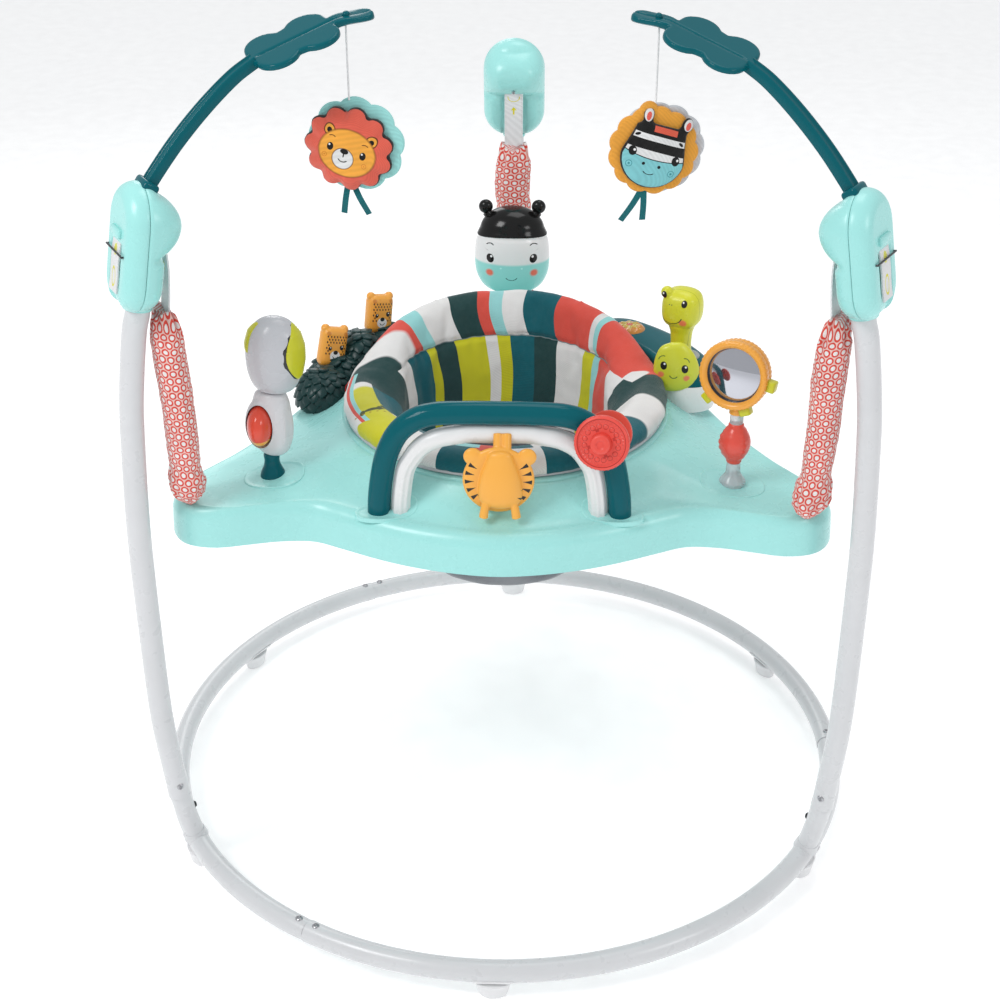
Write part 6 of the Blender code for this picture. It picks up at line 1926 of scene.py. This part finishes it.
def cub(name, azimuth, pivot_z):
    """A round-eared face that rocks in the bush."""
    amber = (0.82, 0.36, 0.050)
    front = Surface("cub_" + name, 0.32, amber)
    centre = polar(0.229, azimuth, pivot_z + CUB_RISE[name])
    facing = Vector((0.55, -0.83, 0.10)).normalized()
    across = Vector((-facing.y, facing.x, 0)).normalized()
    centre = centre - across * 0.004
    lean = 15 if name == "front" else 10
    across = Matrix.Rotation(math.radians(-lean), 3, facing) @ across
    up = facing.cross(across) * -1
    up = up if up.z > 0 else -up
    place = Matrix((across, facing * -1, up)).transposed().to_4x4()
    front.plane(centre + facing * 0.010, across, up)
    for x in (-11.0, 11.0):
        front.paint((0.60, 0.22, 0.03), front.oval((x, 17.5), (2.6, 2.6)))
    for row, line in enumerate((14, 10.5, 7, 3.5, 0, -3.5, -7)):
        for column in range(-3, 4):
            x = column * 4.0 + (2.0 if row % 2 else 0.0)
            if abs(x) < 13.5 and (line > 4 or abs(x) > 6.5):
                front.paint((0.09, 0.030, 0.010), front.oval((x, line), (0.9, 1.3), 14))
    front.paint((0.80, 0.80, 0.80), front.oval((0, -9.5), (6.6, 6.2)))
    front.paint(BLACK, front.oval((0.4, -5.2), (3.0, 2.6)))
    front.paint(BLACK, front.stroke((0.4, -9.0), (3.4, 3.4), 0.9, 0, -0.3))
    front.eye((7.6, 1.0), (2.6, 3.2), (0.2, 0.4), 20)
    front.eye((-7.6, -0.5), (2.2, 2.6), (0.2, 0.4), -20)
    front.front_only(amber, -14.0)
    moulded(front)
    head = box((0, 0, 0), (0.0335, 0.0210, 0.0490), 0.0080)
    head.transform(Matrix.Translation(centre) @ place)
    ears = [ball(centre + place @ Vector((x, 0.0, 0.0220)) - place.translation, (0.0110, 0.0120, 0.0110))
            for x in (-0.0125, 0.0125)]
    body = fused("cub", joined(head, *ears), 0.0009, 4)
    add("cub_head_" + name, body, "cub_" + name, front.material, "cub_" + name, 70)


# ---- Zebra head ----------------------------------------------------------------------------
ZEBRA = Vector((0.0, 0.3250, 0.0))


def zebra(base_skin):
    front = Surface("zebra_plastic", 0.16, (0.80, 0.80, 0.80), Specular_IOR_Level=0.3)
    front.plane(ZEBRA + Vector((0, -0.030, 0.5890)), (1, 0, 0), (0, 0, 1))
    cap = front.plus(front.v, front.times(front.times(front.u, front.u), 0.0020))
    fade = front.ramp(front.v, -7.5, -10.5)
    front.paint((0.30, 0.70, 0.66), fade)
    front.paint(BLACK, front.above(cap, 27.0))
    for x in (-28.0, 28.5):
        front.eye((x, -1.0), (4.9, 6.0), (0.30 if x < 0 else -0.20, 0.45), 8 if x < 0 else -8)
        front.paint(BLACK, front.stroke((x * 1.03, 14.0), (5.6, 4.4), 1.4, 30 if x < 0 else -24, 5.0))
        front.paint(WHITE, front.both(front.oval((x * 1.03, 14.0), (6.6, 5.4)), front.below(front.v, 16.4)))
        front.paint((0.80, 0.16, 0.10), front.oval((x * 1.03, -21.0), (4.8, 4.6), 0, 0.30))
    for x in (-14, 13.5):
        front.paint((0.46, 0.84, 0.80), front.oval((x, -13.5), (1.4, 1.2)))
    front.paint((0.006, 0.05, 0.06), front.stroke((0, -25.5), (7.4, 4.6), 1.2, 0, -0.25))
    moulded(front)
    head = turned(rounded([(0, -0.0578), (0.0220, -0.0560), (0.0380, -0.0470), (0.0470, -0.0310),
                           (0.0495, -0.0130), (0.0488, 0.0060), (0.0462, 0.0200), (0.0440, 0.0262),
                           (0.0425, 0.0310), (0.0385, 0.0410), (0.0290, 0.0510), (0.0150, 0.0572),
                           (0, 0.0585)], 6),
                  ZEBRA + Vector((0, 0, 0.5890)), (0, 0, 1), 96, (1.0, 0.755))
    for vert in head.verts:
        local = vert.co - ZEBRA - Vector((0, 0, 0.5890))
        line = local.z * 1000 + (local.x * 1000) ** 2 * 0.0020
        brim = 0.0010 * ease(line, 26.2, 27.4) * ease(line, 36.0, 28.0)
        band = -0.0008 * ease(line, 26.8, 26.0) * ease(line, 20.0, 25.0)
        out = Vector((local.x, local.y * 1.3, 0)).normalized() if math.hypot(local.x,
                local.y) > 0.002 else Vector()
        vert.co += out * (brim + band)
    ears = []
    for side in (-1, 1):
        stalk = turned([(0, -0.004), (0.0085, -0.004), (0.0066, 0.0060), (0.0060, 0.0120), (0, 0.0120)],
                       ZEBRA + Vector((side * 0.0260, 0, 0.6310)), (side * 0.75, 0, 1), 24)
        ears += [stalk, ball(ZEBRA + Vector((side * 0.0345, 0, 0.6480)), (0.0185, 0.0150, 0.0185))]
    neck = turned(rounded([(0, 0.5210), (0.0120, 0.5212), (0.0150, 0.5240), (0.0180, 0.5330), (0, 0.5360)],
                          3),
                  ZEBRA, (0, 0, 1), 44)
    add("zebra_head_shell", joined(head, *ears, neck), "zebra", front.material,
        "zebra_head", 60)
    post = turned(rounded([(0, 0.478), (0.0240, 0.4785), (0.0245, 0.4825), (0.0180, 0.4870),
                           (0.0130, 0.4960), (0.0126, 0.5200), (0, 0.5205)], 3), ZEBRA, (0, 0, 1), 44)
    add("zebra_stand", post, "tray", base_skin, (), 50)


# ---- The whole jumper ----------------------------------------------------------------------
def build():
    coat = powder_coat()
    screw = steel("screw_steel", 0.30)
    dark = plastic("dark_plastic", (0.020, 0.022, 0.026), 0.30)
    aqua = plastic("aqua_plastic", AQUA, 0.28)
    teal = plastic("teal_plastic", TEAL, 0.13, Specular_IOR_Level=0.14)
    white = plastic("white_plastic", WHITE, 0.30)
    lime = plastic("lime_plastic", LIME, 0.30)
    amber = plastic("amber_plastic", AMBER, 0.26)
    coral = plastic("coral_plastic", CORAL, 0.26)
    grey = plastic("grey_plastic", GREY, 0.28)
    pine = plastic("pine_plastic", (0.010, 0.040, 0.040), 0.30, Specular_IOR_Level=0.3)
    smoke = plastic("smoke_plastic", (0.80, 0.83, 0.86), 0.14, Transmission_Weight=0.55, IOR=1.46)
    mirror_film = Surface("mirror_film", 0.06, (0.54, 0.55, 0.60), Metallic=0.95)
    mirror_film.bump(mirror_film.noise(24, 2), 0.00012)
    mirror_film = mirror_film.close(0.02)
    ribbon = cloth("ribbon_cloth", (0.004, 0.14, 0.16), 0.0008, 0.00008)
    thread = cloth("cord_cloth", (0.86, 0.86, 0.86), 0.0010, 0.00012)
    tag = cloth("tab_cloth", (0.62, 0.012, 0.010), 0.0008, 0.00006)

    frame_tubes(coat, screw, dark)
    feet(plastic("foot_plastic", (0.78, 0.78, 0.79), 0.34))
    wire = steel("spring_wire", 0.32)
    prints = ring_print()
    for seed, side in enumerate(SIDES):
        tower(side, aqua, screw, dark, aqua)
        strap(side, webbing("webbing_" + side, side, "arrow"), webbing("webbing_end_" + side, side, "holes"))
        cover(side, prints, 3.7 * seed)
        spring(side, wire)
    for side in ("left", "right"):
        toy_arm(side, teal)
    string("lion", "left", "lion_toy", thread, 0.8975)
    string("zebra_toy", "right", "zebra_toy", thread, 0.8975)
    lion(ribbon)
    zebra_toy(ribbon)

    tray_shell(aqua)
    rail(teal, white, lime)
    tiger()
    spinner(coral)
    seat_ring(grey)
    seat(seat_cloth())
    red_tag(tag)
    beetle(plastic("beetle_white", (0.66, 0.66, 0.68), 0.26), lime, teal, dark)
    mirror(amber, lime, smoke, coral, dark, mirror_film)
    console(white, teal, smoke)
    frog()
    turtle()
    flower("flower_dome", FLOWER + Vector((0, 0, 0.5433)))
    planter(pine)
    cub("front", 156, 0.5310)
    cub("rear", 134, 0.5460)
    zebra(aqua)


studio()
build()
